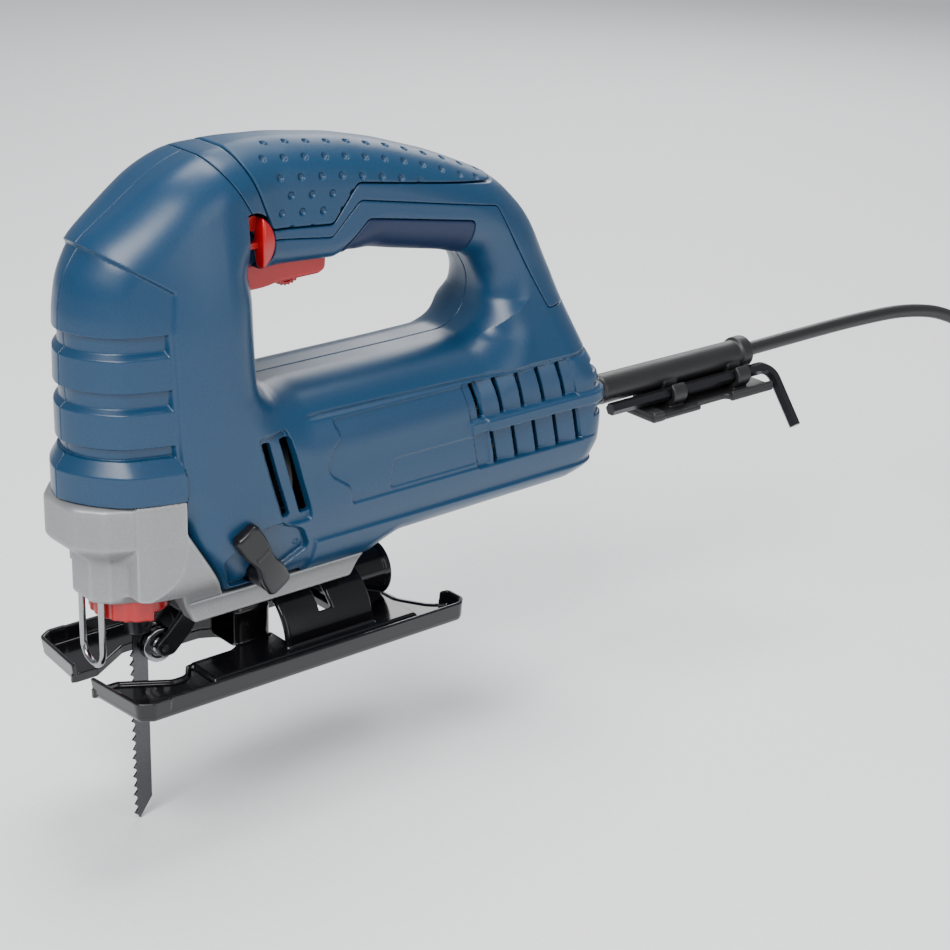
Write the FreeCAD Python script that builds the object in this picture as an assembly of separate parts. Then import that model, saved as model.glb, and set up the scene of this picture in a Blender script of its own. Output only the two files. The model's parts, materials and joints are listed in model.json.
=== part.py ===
import FreeCAD, Part
import math
import os

# Corded jigsaw, millimetres. +X to the rear (cord side), -Y to the left side, +Z up.
# Origin: blade centreline on the sole plane.
V = FreeCAD.Vector

# ---- driving dimensions ----
WALL = 2.8                 # plastic shell thickness
BODY_REAR = 209.0          # rear face of the motor housing
BODY_HALF = 33.0           # half width of the motor housing
BARREL_TOP = 110.0         # top of the motor barrel, floor of the finger opening
SPLIT_Z = 79.0             # lower edge of the plastic head on the gear housing
GRIP_SKIN = 1.4            # soft grip thickness

SOLE_HALF = 38.5           # half width of the base plate
SOLE_FRONT = -25.0
SOLE_REAR = 131.0
PLATE = 2.5                # base plate sheet thickness
RIM = 8.0                  # height of the turned-up rim
BEVEL_Z = 2.5              # height of the bevel axis
SADDLE_R = 24.0            # outer radius of the base plate's saddle
SADDLE_FRONT = 52.0
SADDLE_REAR = 93.0
STRIP_HALF = 20.5          # half width of the gear housing's lower strip

MOTOR_Z = 72.0             # motor shaft height
MODULE = 0.7
PINION_TEETH = 12
GEAR_TEETH = 72
PRESSURE = math.radians(25)
GEAR_Z = MOTOR_Z + MODULE * (PINION_TEETH + GEAR_TEETH) / 2
GEAR_FRONT = 16.0
GEAR_THICK = 7.0
CRANK_R = 10.0             # half of the 20 mm stroke
ROD_R = 5.0
RUN = 0.05                 # running clearance, radial

ROLLER_X = 7.6
ROLLER_Z = 10.5
ROLLER_R = 7.0
FORK_PIVOT = (24.0, 30.5)  # x, z of the roller fork's pin
LEVER_PIVOT = (38.5, 42.0)  # x, z of the orbital lever's pin
TRIGGER_PIVOT = (44.5, 164.0)
WHEEL_AT = (67.0, 150.0)   # x, z of the speed wheel
BUTTON_AT = (41.5, 166.0)  # x, z of the lock-on button
BUTTON_R = 11.5
STEM_AT = (41.5, 173.0)    # x, z of the stem behind the button, above the trigger's hub
TRIGGER_HALF = 11.0        # half width of the part of the trigger that shows
COLLAR_LOBE = 98.0         # each side of +X, degrees at which the release collar's lobe starts
BUTTON_SEAT = 17.0         # inner end of the button's cap, from the middle plane
BUTTON_TRAVEL = 3.5

BLADE_TIP = -62.5
CORD_D = 6.4
CORD_Z = 65.0              # height of the cord's exit
BOOT_R = 6.2
BOOT_END = 322.0
KEY_AF = 5.0               # hex key, across flats
KEY_Y = -8.6
KEY_Z = 58.5

parts = {}


# ---- helpers ----
def box(x0, x1, y0, y1, z0, z1):
    return Part.makeBox(x1 - x0, y1 - y0, z1 - z0, V(x0, y0, z0))


def rod(axis, r, a, b, u=0.0, v=0.0):
    """Cylinder along axis from a to b; u, v are the other two coordinates in X, Y, Z order."""
    if axis == "x":
        return Part.makeCylinder(r, b - a, V(a, u, v), V(1, 0, 0))
    if axis == "y":
        return Part.makeCylinder(r, b - a, V(u, a, v), V(0, 1, 0))
    return Part.makeCylinder(r, b - a, V(u, v, a), V(0, 0, 1))


def tube(axis, r_out, r_in, a, b, u=0.0, v=0.0):
    return rod(axis, r_out, a, b, u, v).cut(rod(axis, r_in, a, b, u, v))


def face(points, inset=0.0):
    """Closed polygon's face, moved inwards by inset."""
    flat = Part.Face(Part.makePolygon(points + [points[0]]))
    if inset:
        flat = flat.makeOffset2D(-inset, 2)
    return flat


def side(points, half, inset=0.0):
    """Prism of an X-Z outline, as wide as half each way in Y."""
    return face([V(x, -half, z) for x, z in points], inset).extrude(V(0, 2 * half, 0))


def plan(points, z0, z1, inset=0.0):
    """Prism of half an X-Y outline, mirrored about the middle plane."""
    ring = [V(x, -y, z0) for x, y in points] + [V(x, y, z0) for x, y in reversed(points)]
    return face(ring, inset).extrude(V(0, 0, z1 - z0))


def across(points, x0, x1, inset=0.0):
    """Prism of half a Y-Z outline, mirrored about the middle plane."""
    ring = [V(x0, -y, z) for y, z in points] + [V(x0, y, z) for y, z in reversed(points)]
    return face(ring, inset).extrude(V(x1 - x0, 0, 0))


def common(*shapes):
    solid = shapes[0]
    for other in shapes[1:]:
        solid = solid.common(other)
    return solid


def fuse(*shapes):
    solid = shapes[0]
    for other in shapes[1:]:
        solid = solid.fuse(other)
    return solid.removeSplitter()


def cut(solid, *tools):
    for tool in tools:
        solid = solid.cut(tool)
    return solid


def group(*solids):
    return Part.makeCompound(list(solids))


def arc_points(cx, cz, r, start, end, count):
    """Points on an arc, angles in degrees."""
    step = (end - start) / (count - 1)
    angles = [math.radians(start + step * i) for i in range(count)]
    return [(cx + r * math.cos(a), cz + r * math.sin(a)) for a in angles]


def gear(teeth, thick, x0, y, z, turn):
    """Spur gear along X with involute flanks and a little backlash."""
    pitch = MODULE * teeth / 2
    base = pitch * math.cos(PRESSURE)
    tip = pitch + 0.9 * MODULE
    root = pitch - 1.15 * MODULE
    half_tooth = math.pi / (2 * teeth) - 0.10 / pitch
    involute_at_pitch = math.tan(PRESSURE) - PRESSURE
    low = max(base, root + 0.15)
    radii = [low + (tip - low) * i / 3 for i in range(4)]
    ring = []
    for k in range(teeth):
        centre = turn + 2 * math.pi * k / teeth
        flank = []
        for r in radii:
            a = math.acos(min(1.0, base / r))
            flank.append((r, half_tooth + involute_at_pitch - (math.tan(a) - a)))
        flank = [(root, flank[0][1])] + flank
        rising = [(r, centre - w) for r, w in flank]
        falling = [(r, centre + w) for r, w in reversed(flank)]
        ring += rising + falling
    points = [V(x0, y + r * math.cos(a), z + r * math.sin(a)) for r, a in ring]
    return face(points).extrude(V(thick, 0, 0))


# ---- outer form of the plastic housing, with an inset for its hollow ----
PLAN_HEAD = [(-29.5, 8), (-27.0, 14), (-22.0, 18), (4.0, 28.7), (22.0, 33), (46.0, 33)]
PLAN_FLANGE = [(-32.0, 8), (-29.5, 15), (-25.0, 18.8), (4.0, 30.3)]
PLAN_BARREL = [(4.0, 28.7), (22.0, 33), (195.0, 33), (205.0, 28), (BODY_REAR, 18)]
SIDE_HEAD = [
    (-33, SPLIT_Z), (-33, 146), (-28.7, 150), (-27, 160), (-19, 172),
    (9, 193.5), (19, 199), (27, 199.5), (40.5, 164), (40.5, SPLIT_Z),
]
SIDE_BARREL = [
    (4, SPLIT_Z), (4, 66), (25, 34.3), (91, 34.3), (103, 41), (203, 43), (BODY_REAR, 55),
    (BODY_REAR, 84), (203, 101), (190, BARREL_TOP), (4, BARREL_TOP),
]
ACROSS_HEAD = [(33, SPLIT_Z), (33, 130), (31, 152), (25, 176), (16, 190), (7, 198), (3, 200)]
ACROSS_BARREL = [
    (22, 34.3), (26, 40), (30.5, 60), (33, 75), (33, 88), (30, 97), (24, 104), (15, 108.6),
    (6, BARREL_TOP),
]
# handle stations: centre x, centre z, slope of the grip in degrees, half width, half thickness
HANDLE = [
    (24, 178.5, 0, 19, 20.5),
    (42, 179.5, -1, 19, 20.0),
    (62, 178.0, -5, 19, 20.5),
    (90, 174.5, -10, 19, 20.5),
    (118, 168.5, -16, 19, 19.8),
    (143, 160.0, -26, 19, 18.5),
    (162, 146.0, -50, 20, 18.0),
    (173, 127.0, -68, 23, 18.5),
    (179, 108.0, -76, 28, 20.5),
    (183, 92.0, -78, 30, 20.0),
]


def handle_section(x, z, slope, half_y, half_t, inset):
    """Rounded rectangle across the handle at one station."""
    w = half_y - inset
    t = half_t - inset
    r = 0.62 * min(w, t)
    k = r * (1 - math.sqrt(0.5))
    a = math.radians(slope)
    up = V(-math.sin(a), 0, math.cos(a))
    left = V(0, 1, 0)
    middle = V(x, 0, z)

    def at(u, v):
        return middle + left * u + up * v

    edges = []
    corners = [(1, 1), (-1, 1), (-1, -1), (1, -1)]
    for i, (su, sv) in enumerate(corners):
        nu, nv = corners[(i + 1) % 4]
        if i % 2 == 0:
            start = at(su * (w - r), sv * t)
            end = at(nu * (w - r), nv * t)
            bend = (at(nu * (w - r), nv * t), at(nu * (w - k), nv * (t - k)), at(nu * w, nv * (t - r)))
        else:
            start = at(su * w, sv * (t - r))
            end = at(nu * w, nv * (t - r))
            bend = (at(nu * w, nv * (t - r)), at(nu * (w - k), nv * (t - k)), at(nu * (w - r), nv * t))
        edges.append(Part.LineSegment(start, end).toShape())
        edges.append(Part.Arc(*bend).toShape())
    return Part.Wire(edges)


def handle_loft(inset):
    return Part.makeLoft([handle_section(*s, inset) for s in HANDLE], True, False)


def housing_form(inset):
    """Head, motor barrel and D handle in one, inset from the outer surface."""
    head = common(side(SIDE_HEAD, 50, inset), plan(PLAN_HEAD, 60, 210, inset),
                  across(ACROSS_HEAD, -60, 60, inset))
    barrel = common(side(SIDE_BARREL, 50, inset), plan(PLAN_BARREL, 20, 120, inset),
                    across(ACROSS_BARREL, -10, 220, inset))
    solid = head.fuse(barrel).fuse(handle_loft(inset))
    if not inset:
        flange = plan(PLAN_FLANGE, SPLIT_Z, SPLIT_Z + 11)
        solid = solid.fuse(flange)
    return solid.removeSplitter()


OUTER = housing_form(0)
INNER = housing_form(WALL)

# x, z of the screw posts that join the two shells
POSTS = [(-15, 158), (22, 176), (34.6, 121), (132, 163), (173, 124), (199.5, 52), (112, 103.2), (62, 40)]
POST_R = 4.2
SCREW_R = 1.6
SCREW_HEAD_R = 3.4
SCREW_HEAD_Y = 13.0


# ---- housing shells ----
def seam_regions():
    """Side outlines that part the handle cover and the two grips from the shells."""
    cover = [(22, 205), (24.5, 199), (47, 166), (76, 163), (89, 175), (156, 162.5), (181, 118),
             (230, 118), (230, 205)]
    grip = [(34, 205), (36, 199), (49, 169.5), (77, 167.5), (88, 181.5), (157, 170.5), (165, 180),
            (165, 205)]
    finger = [(84, 159), (92, 163), (136, 157.5), (146, 146), (140, 130), (84, 130)]
    return side(cover, 45), side(grip, 45), side(finger, 45)


def housing_shells():
    posts = [rod("y", POST_R, -40, 40, x, z) for x, z in POSTS]
    cover_zone, grip_zone, finger_zone = seam_regions()
    fork_bay = box(2, 33.5, -12.9, 12.9, 20, 60)
    hollow = fuse(INNER, box(-19, 26, -17.5, 17.5, 60, 100), fork_bay)
    shell = OUTER.cut(hollow)
    post_block = common(OUTER, fuse(*posts))
    # ring seats that carry the field core and the rear bearing
    seat_front = common(INNER, box(70, 74, -40, 40, 40, 108)).cut(rod("x", 26.0, 60, 80, 0, MOTOR_Z))
    seat_mid = common(INNER, box(116, 120, -40, 40, 40, 106)).cut(rod("x", 26.0, 100, 130, 0, MOTOR_Z))
    seat_rear = common(INNER, box(187, 193, -40, 40, 40, 106)).cut(rod("x", 9.5, 180, 200, 0, MOTOR_Z))
    pin_bosses = rod("y", 3.4, -16.4, 16.4, *TRIGGER_PIVOT)
    shell = fuse(shell, post_block, seat_front, seat_mid, seat_rear, pin_bosses)
    # openings: trigger slot, lock button, lever hub, cord boot, vents
    wide = TRIGGER_HALF + 0.6
    trigger_slot = fuse(box(40.6, 82.5, -7.2, 7.2, 140, 172), box(40.6, 82.5, -wide, wide, 140, 160.2))
    button_slot = rod("y", BUTTON_R + 0.6, -40, -BUTTON_SEAT + BUTTON_TRAVEL + 0.5, *BUTTON_AT)
    stem_hole = rod("y", 3.3, -20, -6, *STEM_AT)
    boot_hole = rod("x", BOOT_R + 0.02, 190, 230, 0, CORD_Z)
    lever_hole = rod("y", 4.05, -45, -15, *LEVER_PIVOT)
    lever_pocket = rod("y", 13.5, -45, -24.5, *LEVER_PIVOT).cut(box(0, 60, -45, 0, 20, 36))
    pin_hole = rod("y", 1.5, -11, 11, *TRIGGER_PIVOT)
    shell = cut(shell, trigger_slot, button_slot, stem_hole, boot_hole, lever_hole, lever_pocket, pin_hole)
    shell = cut(shell, *vents())
    cover = common(shell, cover_zone, handle_band())
    lower = shell.cut(common(cover_zone, handle_band()))
    skin = common(OUTER.cut(housing_form(GRIP_SKIN)), grip_zone, handle_band()).cut(button_slot)
    finger_skin = common(OUTER.cut(housing_form(GRIP_SKIN)), finger_zone, box(0, 160, -30, 30, 100, 163))
    finger_skin = finger_skin.cut(cover_zone)
    lower = lower.cut(finger_skin)
    cover = cover.cut(skin)
    lower = lower.cut(fuse(*[rod("y", SCREW_R, -9, 40, x, z) for x, z in POSTS]))
    cover = cover.cut(fuse(*[rod("y", SCREW_R, -9, 40, x, z) for x, z in POSTS]))
    heads = fuse(*[rod("y", SCREW_HEAD_R, SCREW_HEAD_Y, 40, x, z) for x, z in POSTS])
    lower = lower.cut(heads)
    cover = cover.cut(heads)
    parts["housing_left"] = biggest(lower.common(box(-60, 260, -60, 0, 0, 260)))
    parts["housing_right"] = biggest(lower.common(box(-60, 260, 0, 60, 0, 260)))
    parts["handle_cover"] = biggest(cover)
    parts["soft_grip"] = biggest(skin)
    parts["finger_grip"] = biggest(finger_skin)


def handle_band():
    """Space around the handle and rear post only, behind the head's seam."""
    return side([(24.5, 205), (47, 150), (230, 100), (230, 205)], 45)


def biggest(shape):
    return max(shape.Solids, key=lambda s: s.Volume)


def vents():
    """Slanted air slots through both side walls."""
    slots = []
    lean = 0.22
    rows = [(80.5, 95.5, 138.0), (62.0, 76.0, 142.0)]
    for z0, z1, x_first in rows:
        for i in range(5):
            x = x_first + i * 11.0
            slot = [(x, z1), (x + 4.4, z1), (x + 4.4 + lean * (z1 - z0), z0), (x + lean * (z1 - z0), z0)]
            slots.append(side(slot, 45))
    for x in (33.0, 39.5):
        slots.append(side([(x, 94), (x + 3.6, 94), (x + 8.6, 66), (x + 5.0, 66)], 45))
    return [s.cut(box(-10, 230, -26, 26, 0, 200)) for s in slots]


# ---- gear housing: cast nose, diagonal flank and the strip over the saddle ----
def gear_housing():
    nose_low = plan([(-23, 9), (-19, 15.5), (-13, 19), (-5, 21), (6, 20.5)], 37, 66)
    nose_band = plan(PLAN_FLANGE, 62, SPLIT_Z)
    flank_side = [(4, SPLIT_Z), (4, 66), (25, 34.3), (25, 34), (91, 34), (84.5, 24.6), (12, 24.6),
                  (5.5, 37), (-2, 37), (-2, SPLIT_Z)]
    flank_across = [(STRIP_HALF, 24.6), (STRIP_HALF, 34.2), (25.5, 40), (30.3, 62), (30.3, SPLIT_Z)]
    flank = common(side(flank_side, 45), across(flank_across, -10, 120))
    outer = fuse(nose_low, nose_band, flank)
    cavity = plan([(-20.6, 8.5), (-17.5, 13.7), (-12, 17), (-4, 18.8), (3.8, 18.8)], 30, 59.9)
    fork_bay = box(2, 33.5, -12.5, 12.5, 20, 59.9)
    upper = box(-16, 30, -17, 17, 74, 90)
    bush_bore = rod("z", 8.0, 50, 90)
    saddle = rod("x", SADDLE_R + 0.35, 0, 130, 0, BEVEL_Z)
    clamp_hole = rod("z", 2.6, 20, 40, 72, 0)
    pivot_hole = rod("y", 2.0, -40, 40, *FORK_PIVOT)
    guard_holes = fuse(rod("z", 1.3, 30, 55, -19.4, 7.0), rod("z", 1.3, 30, 55, -19.4, -7.0))
    guard_boss = common(fuse(rod("z", 2.4, 37, 59.9, -19.4, 7.0), rod("z", 2.4, 37, 59.9, -19.4, -7.0)),
                        nose_low)
    solid = cut(outer, cavity, fork_bay, upper, bush_bore, saddle)
    solid = fuse(solid, guard_boss)
    solid = cut(solid, guard_holes, pivot_hole, clamp_hole, rod("x", 13.0, 22, 40, 0, MOTOR_Z))
    solid = solid.cut(OUTER)
    parts["gear_housing"] = biggest(solid)
    parts["fork_pivot_pin"] = rod("y", 2.0, -15.5, 15.5, *FORK_PIVOT)


def wire_guard():
    y, top, low, r = 7.0, 52.0, 16.8, 1.3
    x = -19.4
    edges = [
        Part.LineSegment(V(x, y, top), V(x, y, low)).toShape(),
        Part.Arc(V(x, y, low), V(x, 0, low - y), V(x, -y, low)).toShape(),
        Part.LineSegment(V(x, -y, low), V(x, -y, top)).toShape(),
    ]
    start = Part.Wire(Part.Circle(V(x, y, top), V(0, 0, -1), r).toShape())
    parts["wire_guard"] = Part.Wire(edges).makePipeShell([start], True, False)


# ---- bearing bracket and rod bushes ----
BRACKET_X = (26.5, 32.0)
UPPER_BUSH = (130.5, 138.5)
LOWER_BUSH = (62.0, 76.0)


def bearing_bracket():
    x0, x1 = BRACKET_X
    plate = across([(24, 50), (24, 112), (14, 124), (14, UPPER_BUSH[1])], x0, x1)
    arm = box(-11, x1, -11, 11, *UPPER_BUSH)
    solid = fuse(plate, arm)
    solid = cut(solid, rod("z", 7.5, 120, 150), rod("x", 8.0, 20, 40, 0, MOTOR_Z),
                rod("x", 4.0, 20, 40, 0, GEAR_Z))
    solid = cut(solid, parts["gear_housing"], parts["housing_left"], parts["housing_right"])
    parts["bearing_bracket"] = biggest(solid)
    parts["gear_axle"] = rod("x", 4.0, GEAR_FRONT - 0.5, x1 + 1.5, 0, GEAR_Z)
    lower = tube("z", 8.0, ROD_R + RUN, *LOWER_BUSH)
    upper = tube("z", 7.5, ROD_R + RUN, *UPPER_BUSH)
    parts["rod_bushes"] = group(lower, upper)


# ---- drive gear, crank and stroke rod ----
YOKE_Z = GEAR_Z - CRANK_R


def drive():
    turn = -math.pi / 2
    wheel = gear(GEAR_TEETH, GEAR_THICK, GEAR_FRONT, 0, GEAR_Z, turn)
    relief = tube("x", 22.5, 9.0, GEAR_FRONT, GEAR_FRONT + 1.2, 0, GEAR_Z)
    boss = rod("x", 5.2, GEAR_FRONT, GEAR_FRONT + 1.2, 0, GEAR_Z - CRANK_R)
    relief = relief.cut(boss)
    bore = rod("x", 4.0 + RUN, 0, 50, 0, GEAR_Z)
    pin_bore = rod("x", 3.0, 0, 50, 0, GEAR_Z - CRANK_R)
    parts["drive_gear"] = cut(wheel, relief, bore, pin_bore)
    pin = rod("x", 3.0, GEAR_FRONT - 2.0, GEAR_FRONT + GEAR_THICK, 0, GEAR_Z - CRANK_R)
    parts["crank_pin"] = pin
    yoke = cut(box(-8, 13, -17, 17, YOKE_Z - 8, YOKE_Z + 8),
               rod("z", ROD_R, 60, 130),
               box(6.5, 14, -14.2, 14.2, YOKE_Z - 4.1, YOKE_Z + 4.1))
    parts["rod_yoke"] = yoke
    shaft = rod("z", ROD_R, 30, 143)
    parts["stroke_rod"] = shaft
    holder = fuse(rod("z", 6.2, 18, 42), rod("z", 7.6, 32, 38))
    lip = side([(3.0, 17), (8, 17), (8, 22)], 10)
    slot = box(-5, 5, -0.8, 0.8, 10, 31)
    pocket = rod("z", ROD_R, 30, 60)
    parts["blade_clamp"] = cut(holder, lip, slot, pocket)


def blade():
    """T-shank blade: toothed edge to the front, teeth 4 mm apart."""
    pitch = 4.0
    back = 3.7
    gullet = -2.6
    tooth = -4.2
    outline = [(back, 20.0), (back, BLADE_TIP + 8), (gullet + 0.6, BLADE_TIP)]
    z = BLADE_TIP + 1.5
    while z < 8.0:
        outline += [(gullet, z), (tooth, z + 1.0), (gullet, z + 2.8)]
        z += pitch
    outline += [(gullet, 14.0), (-2.4, 29.5), (2.4, 29.5), (2.4, 20.0)]
    flat = face([V(x, -0.65, zz) for x, zz in outline])
    parts["saw_blade"] = flat.extrude(V(0, 1.3, 0))


# ---- motor ----
def motor():
    x0 = GEAR_FRONT - 0.5
    pinion = gear(PINION_TEETH, 10.5, x0, 0, MOTOR_Z, math.pi / 2 + math.pi / PINION_TEETH)
    shaft = fuse(pinion, rod("x", 3.0, x0 + 10.5, 195, 0, MOTOR_Z))
    parts["armature_shaft"] = shaft
    core = tube("x", 15.5, 3.0, 68, 122, 0, MOTOR_Z)
    slots = []
    for k in range(12):
        a = 2 * math.pi * k / 12
        slot = box(60, 130, -0.9, 0.9, 11.5, 17)
        slot.rotate(V(0, 0, 0), V(1, 0, 0), math.degrees(a))
        slot.translate(V(0, 0, MOTOR_Z))
        slots.append(slot)
    parts["armature_core"] = cut(core, *slots)
    ends = [tube("x", 13.0, 3.0, 59, 68, 0, MOTOR_Z), tube("x", 13.0, 3.0, 122, 134, 0, MOTOR_Z)]
    parts["armature_windings"] = group(*ends)
    parts["commutator"] = tube("x", 11.0, 3.0, 138, 154, 0, MOTOR_Z)
    hub = tube("x", 7.0, 3.0, 42, 54, 0, MOTOR_Z)
    disc = tube("x", 22.5, 6.9, 52, 54, 0, MOTOR_Z)
    blades = []
    for k in range(14):
        vane = box(43, 52.1, -0.7, 0.7, 9.5, 22)
        vane.rotate(V(0, 0, 12), V(1, 0, 0), 28)
        vane.rotate(V(0, 0, 0), V(1, 0, 0), 360.0 * k / 14)
        vane.translate(V(0, 0, MOTOR_Z))
        blades.append(vane)
    parts["cooling_fan"] = fuse(hub, disc, *blades)
    ring = tube("x", 26.0, 16.2, 66, 124, 0, MOTOR_Z)
    coils = []
    for s in (-1, 1):
        wedge = tube("x", 22.0, 17.4, 58, 132, 0, MOTOR_Z)
        coils.append(wedge.common(box(50, 140, -30, 30, MOTOR_Z + s * 9 - 7, MOTOR_Z + s * 9 + 7)))
    solids = [s for c in coils for s in c.Solids]
    parts["field_coils"] = group(*solids)
    parts["field_core"] = ring.cut(fuse(*solids))
    front = tube("x", 8.0, 3.0, *BRACKET_X, 0, MOTOR_Z)
    rear = tube("x", 9.5, 3.0, 187, 193, 0, MOTOR_Z)
    bores = rod("x", 3.0 + 0.02, 10, 210, 0, MOTOR_Z)
    parts["motor_bearings"] = group(front.cut(bores), rear.cut(bores))
    holders = []
    brushes = []
    springs = []
    for s in (-1, 1):
        y0, y1 = sorted((s * 12.0, s * 28.0))
        holder = box(141, 151, y0, y1, MOTOR_Z - 6, MOTOR_Z + 6)
        channel = box(142.5, 149.5, y0 - 1, y1 + 1, MOTOR_Z - 4, MOTOR_Z + 4)
        holders.append(holder.cut(channel))
        b0, b1 = sorted((s * 11.35, s * 21.0))
        brushes.append(box(142.6, 149.4, b0, b1, MOTOR_Z - 3.9, MOTOR_Z + 3.9))
        c0, c1 = sorted((s * 21.0, s * 28.0))
        springs.append(tube("y", 3.0, 2.2, c0, c1, 146, MOTOR_Z))
    parts["brush_holders"] = group(*holders)
    parts["carbon_brushes"] = group(*brushes)
    parts["brush_springs"] = group(*springs)
    baffle = tube("x", 29.8, 24.5, 44, 50, 0, MOTOR_Z + 2.0)
    parts["air_baffle"] = biggest(common(baffle, INNER).cut(fuse(*vents())))


# ---- electrics inside the handle and rear post ----
def electrics():
    parts["switch_body"] = cut(box(84, 118, -9, 9, 160, 180), box(84, 88, -3, 3, 160, 172))
    parts["speed_module"] = box(146, 160, -11, 11, 144, 156)
    lower = box(196.5, 203.5, -8.2, 8.2, 56.6, CORD_Z - 0.02).cut(rod("x", 4.6, 190, 210, 0, CORD_Z))
    upper = box(196.5, 203.5, -8.2, 8.2, CORD_Z + 0.02, 73.5).cut(rod("x", 4.6, 190, 210, 0, CORD_Z))
    parts["cord_clamp"] = group(lower, upper)


def boot():
    outer = fuse(rod("x", BOOT_R, 204.5, BOOT_END - 6, 0, CORD_Z),
                 rod("x", 7.4, BOOT_END - 6, BOOT_END, 0, CORD_Z))
    core = rod("x", CORD_D / 2, 190, BOOT_END + 1, 0, CORD_Z)
    # key tray hung under the near side of the boot, with two snap clips
    floor_z = KEY_Z - KEY_AF / 2 - 3.4
    tray = box(252, 326, KEY_Y - 7.5, 3, floor_z - 2.4, floor_z)
    rib = box(256, 316, -1.6, 1.6, floor_z - 1, CORD_Z - BOOT_R + 1.5)
    key_space = rod("x", KEY_AF * 0.60, 200, 340, KEY_Y, KEY_Z)
    clips = []
    for x in (266, 306):
        ring = tube("x", KEY_AF * 0.60 + 2.0, KEY_AF * 0.60, x, x + 8, KEY_Y, KEY_Z)
        gap = box(x - 1, x + 9, KEY_Y - 2.0, KEY_Y + 2.0, KEY_Z, KEY_Z + 10)
        post = box(x, x + 8, KEY_Y - 2.0, KEY_Y + 2.0, floor_z - 1, KEY_Z)
        clips.append(fuse(ring.cut(gap), post))
    solid = fuse(outer, rib, tray, *clips)
    solid = cut(solid, key_space, core)
    parts["cord_boot"] = biggest(solid)


def hex_key():
    bend_r = 7.0
    end = V(250.0 - 18.0, KEY_Y, KEY_Z)
    corner = V(331.0, KEY_Y, KEY_Z)
    down = V(0.0, -math.sin(math.radians(38)), -math.cos(math.radians(38)))
    r = KEY_AF / 2
    tip = corner + down * 30.0
    a = corner - V(bend_r, 0, 0)
    b = corner + down * bend_r
    centre = a + down * bend_r
    mid = centre + (corner - centre).normalize() * bend_r
    path = Part.Wire([Part.LineSegment(end, a).toShape(), Part.Arc(a, mid, b).toShape(),
                      Part.LineSegment(b, tip).toShape()])
    ring = []
    for k in range(7):
        t = k * math.pi / 3
        ring.append(end + V(0, r * 1.13 * math.cos(t), r * 1.13 * math.sin(t)))
    profile = Part.makePolygon(ring)
    parts["hex_key"] = path.makePipeShell([profile], True, False)


# ---- controls ----
def controls():
    tx, tz = TRIGGER_PIVOT
    body = [(tx - 3.2, tz + 4), (tx + 33, tz + 3), (tx + 35, 153.5), (tx + 33, 147.0), (tx + 12, 146.0),
            (tx + 4, 143.5), (tx - 1.5, 141.5), (tx - 3.2, 150)]
    fingers = [(tx - 3.2, 154.5), (tx + 34.5, 154.0), (tx + 33, 147.0), (tx + 12, 146.0), (tx + 4, 143.5),
               (tx - 1.5, 141.5), (tx - 3.2, 150)]
    trigger = fuse(side(body, 6.6), side(fingers, TRIGGER_HALF))
    wheel_pocket = rod("y", 9.0, -3.6, 3.6, *WHEEL_AT)
    parts["trigger"] = cut(trigger, wheel_pocket, rod("y", 1.5 + RUN, -10, 10, tx, tz),
                           rod("y", 1.2, -10, 10, *WHEEL_AT))
    parts["trigger_pin"] = rod("y", 1.5, -11, 11, tx, tz)
    wheel = tube("y", 8.2, 1.2 + RUN, -3.2, 3.2, *WHEEL_AT)
    notches = []
    for k in range(30):
        a = 2 * math.pi * k / 30
        at = (WHEEL_AT[0] + 8.4 * math.cos(a), WHEEL_AT[1] + 8.4 * math.sin(a))
        notches.append(rod("y", 0.45, -5, 5, *at))
    parts["speed_wheel"] = wheel.cut(fuse(*notches))
    parts["wheel_pin"] = rod("y", 1.2, -6.6, 6.6, *WHEEL_AT)
    bx, bz = BUTTON_AT
    cap = rod("y", BUTTON_R, -23.5, -BUTTON_SEAT, bx, bz)
    narrow = box(bx - 5.0, bx + 6.5, -30, 0, bz - 12, bz + 12)
    cap = common(cap, narrow)
    stem = rod("y", 3.0, -BUTTON_SEAT, -10.3, *STEM_AT)
    parts["lock_button"] = fuse(cap, stem)
    lx, lz = LEVER_PIVOT
    hub = rod("y", 6.0, -30.0, -25.0, lx, lz)
    stem = rod("y", 4.0, -25.0, -17.0, lx, lz)
    angle = math.radians(123)
    reach = 26.0
    ux, uz = math.cos(angle), math.sin(angle)
    arm = side([(lx - 5.4 * uz, lz + 5.4 * ux), (lx + 5.4 * uz, lz - 5.4 * ux),
                (lx + reach * ux + 5.0 * uz, lz + reach * uz - 5.0 * ux),
                (lx + reach * ux - 5.0 * uz, lz + reach * uz + 5.0 * ux)], 50)
    arm = arm.common(box(-20, 90, -38.0, -32.6, 30, 90))
    neck = rod("y", 6.0, -38.0, -30.0, lx, lz)
    parts["orbital_lever"] = fuse(hub, stem, arm, neck)
    # collar ring of the blade release
    ring = tube("z", 12.0, 9.2, 29.2, 40.0)
    lobe = tube("z", 18.0, 9.2, 29.2, 40.0)
    fan = math.tan(math.radians(COLLAR_LOBE - 90))
    sector = Part.Face(Part.makePolygon([V(0, 0, 20), V(-30 * fan, 30, 20), V(-30, 30, 20),
                                         V(-30, -30, 20), V(-30 * fan, -30, 20), V(0, 0, 20)]))
    parts["release_collar"] = fuse(ring, lobe.common(sector.extrude(V(0, 0, 40))))


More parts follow.
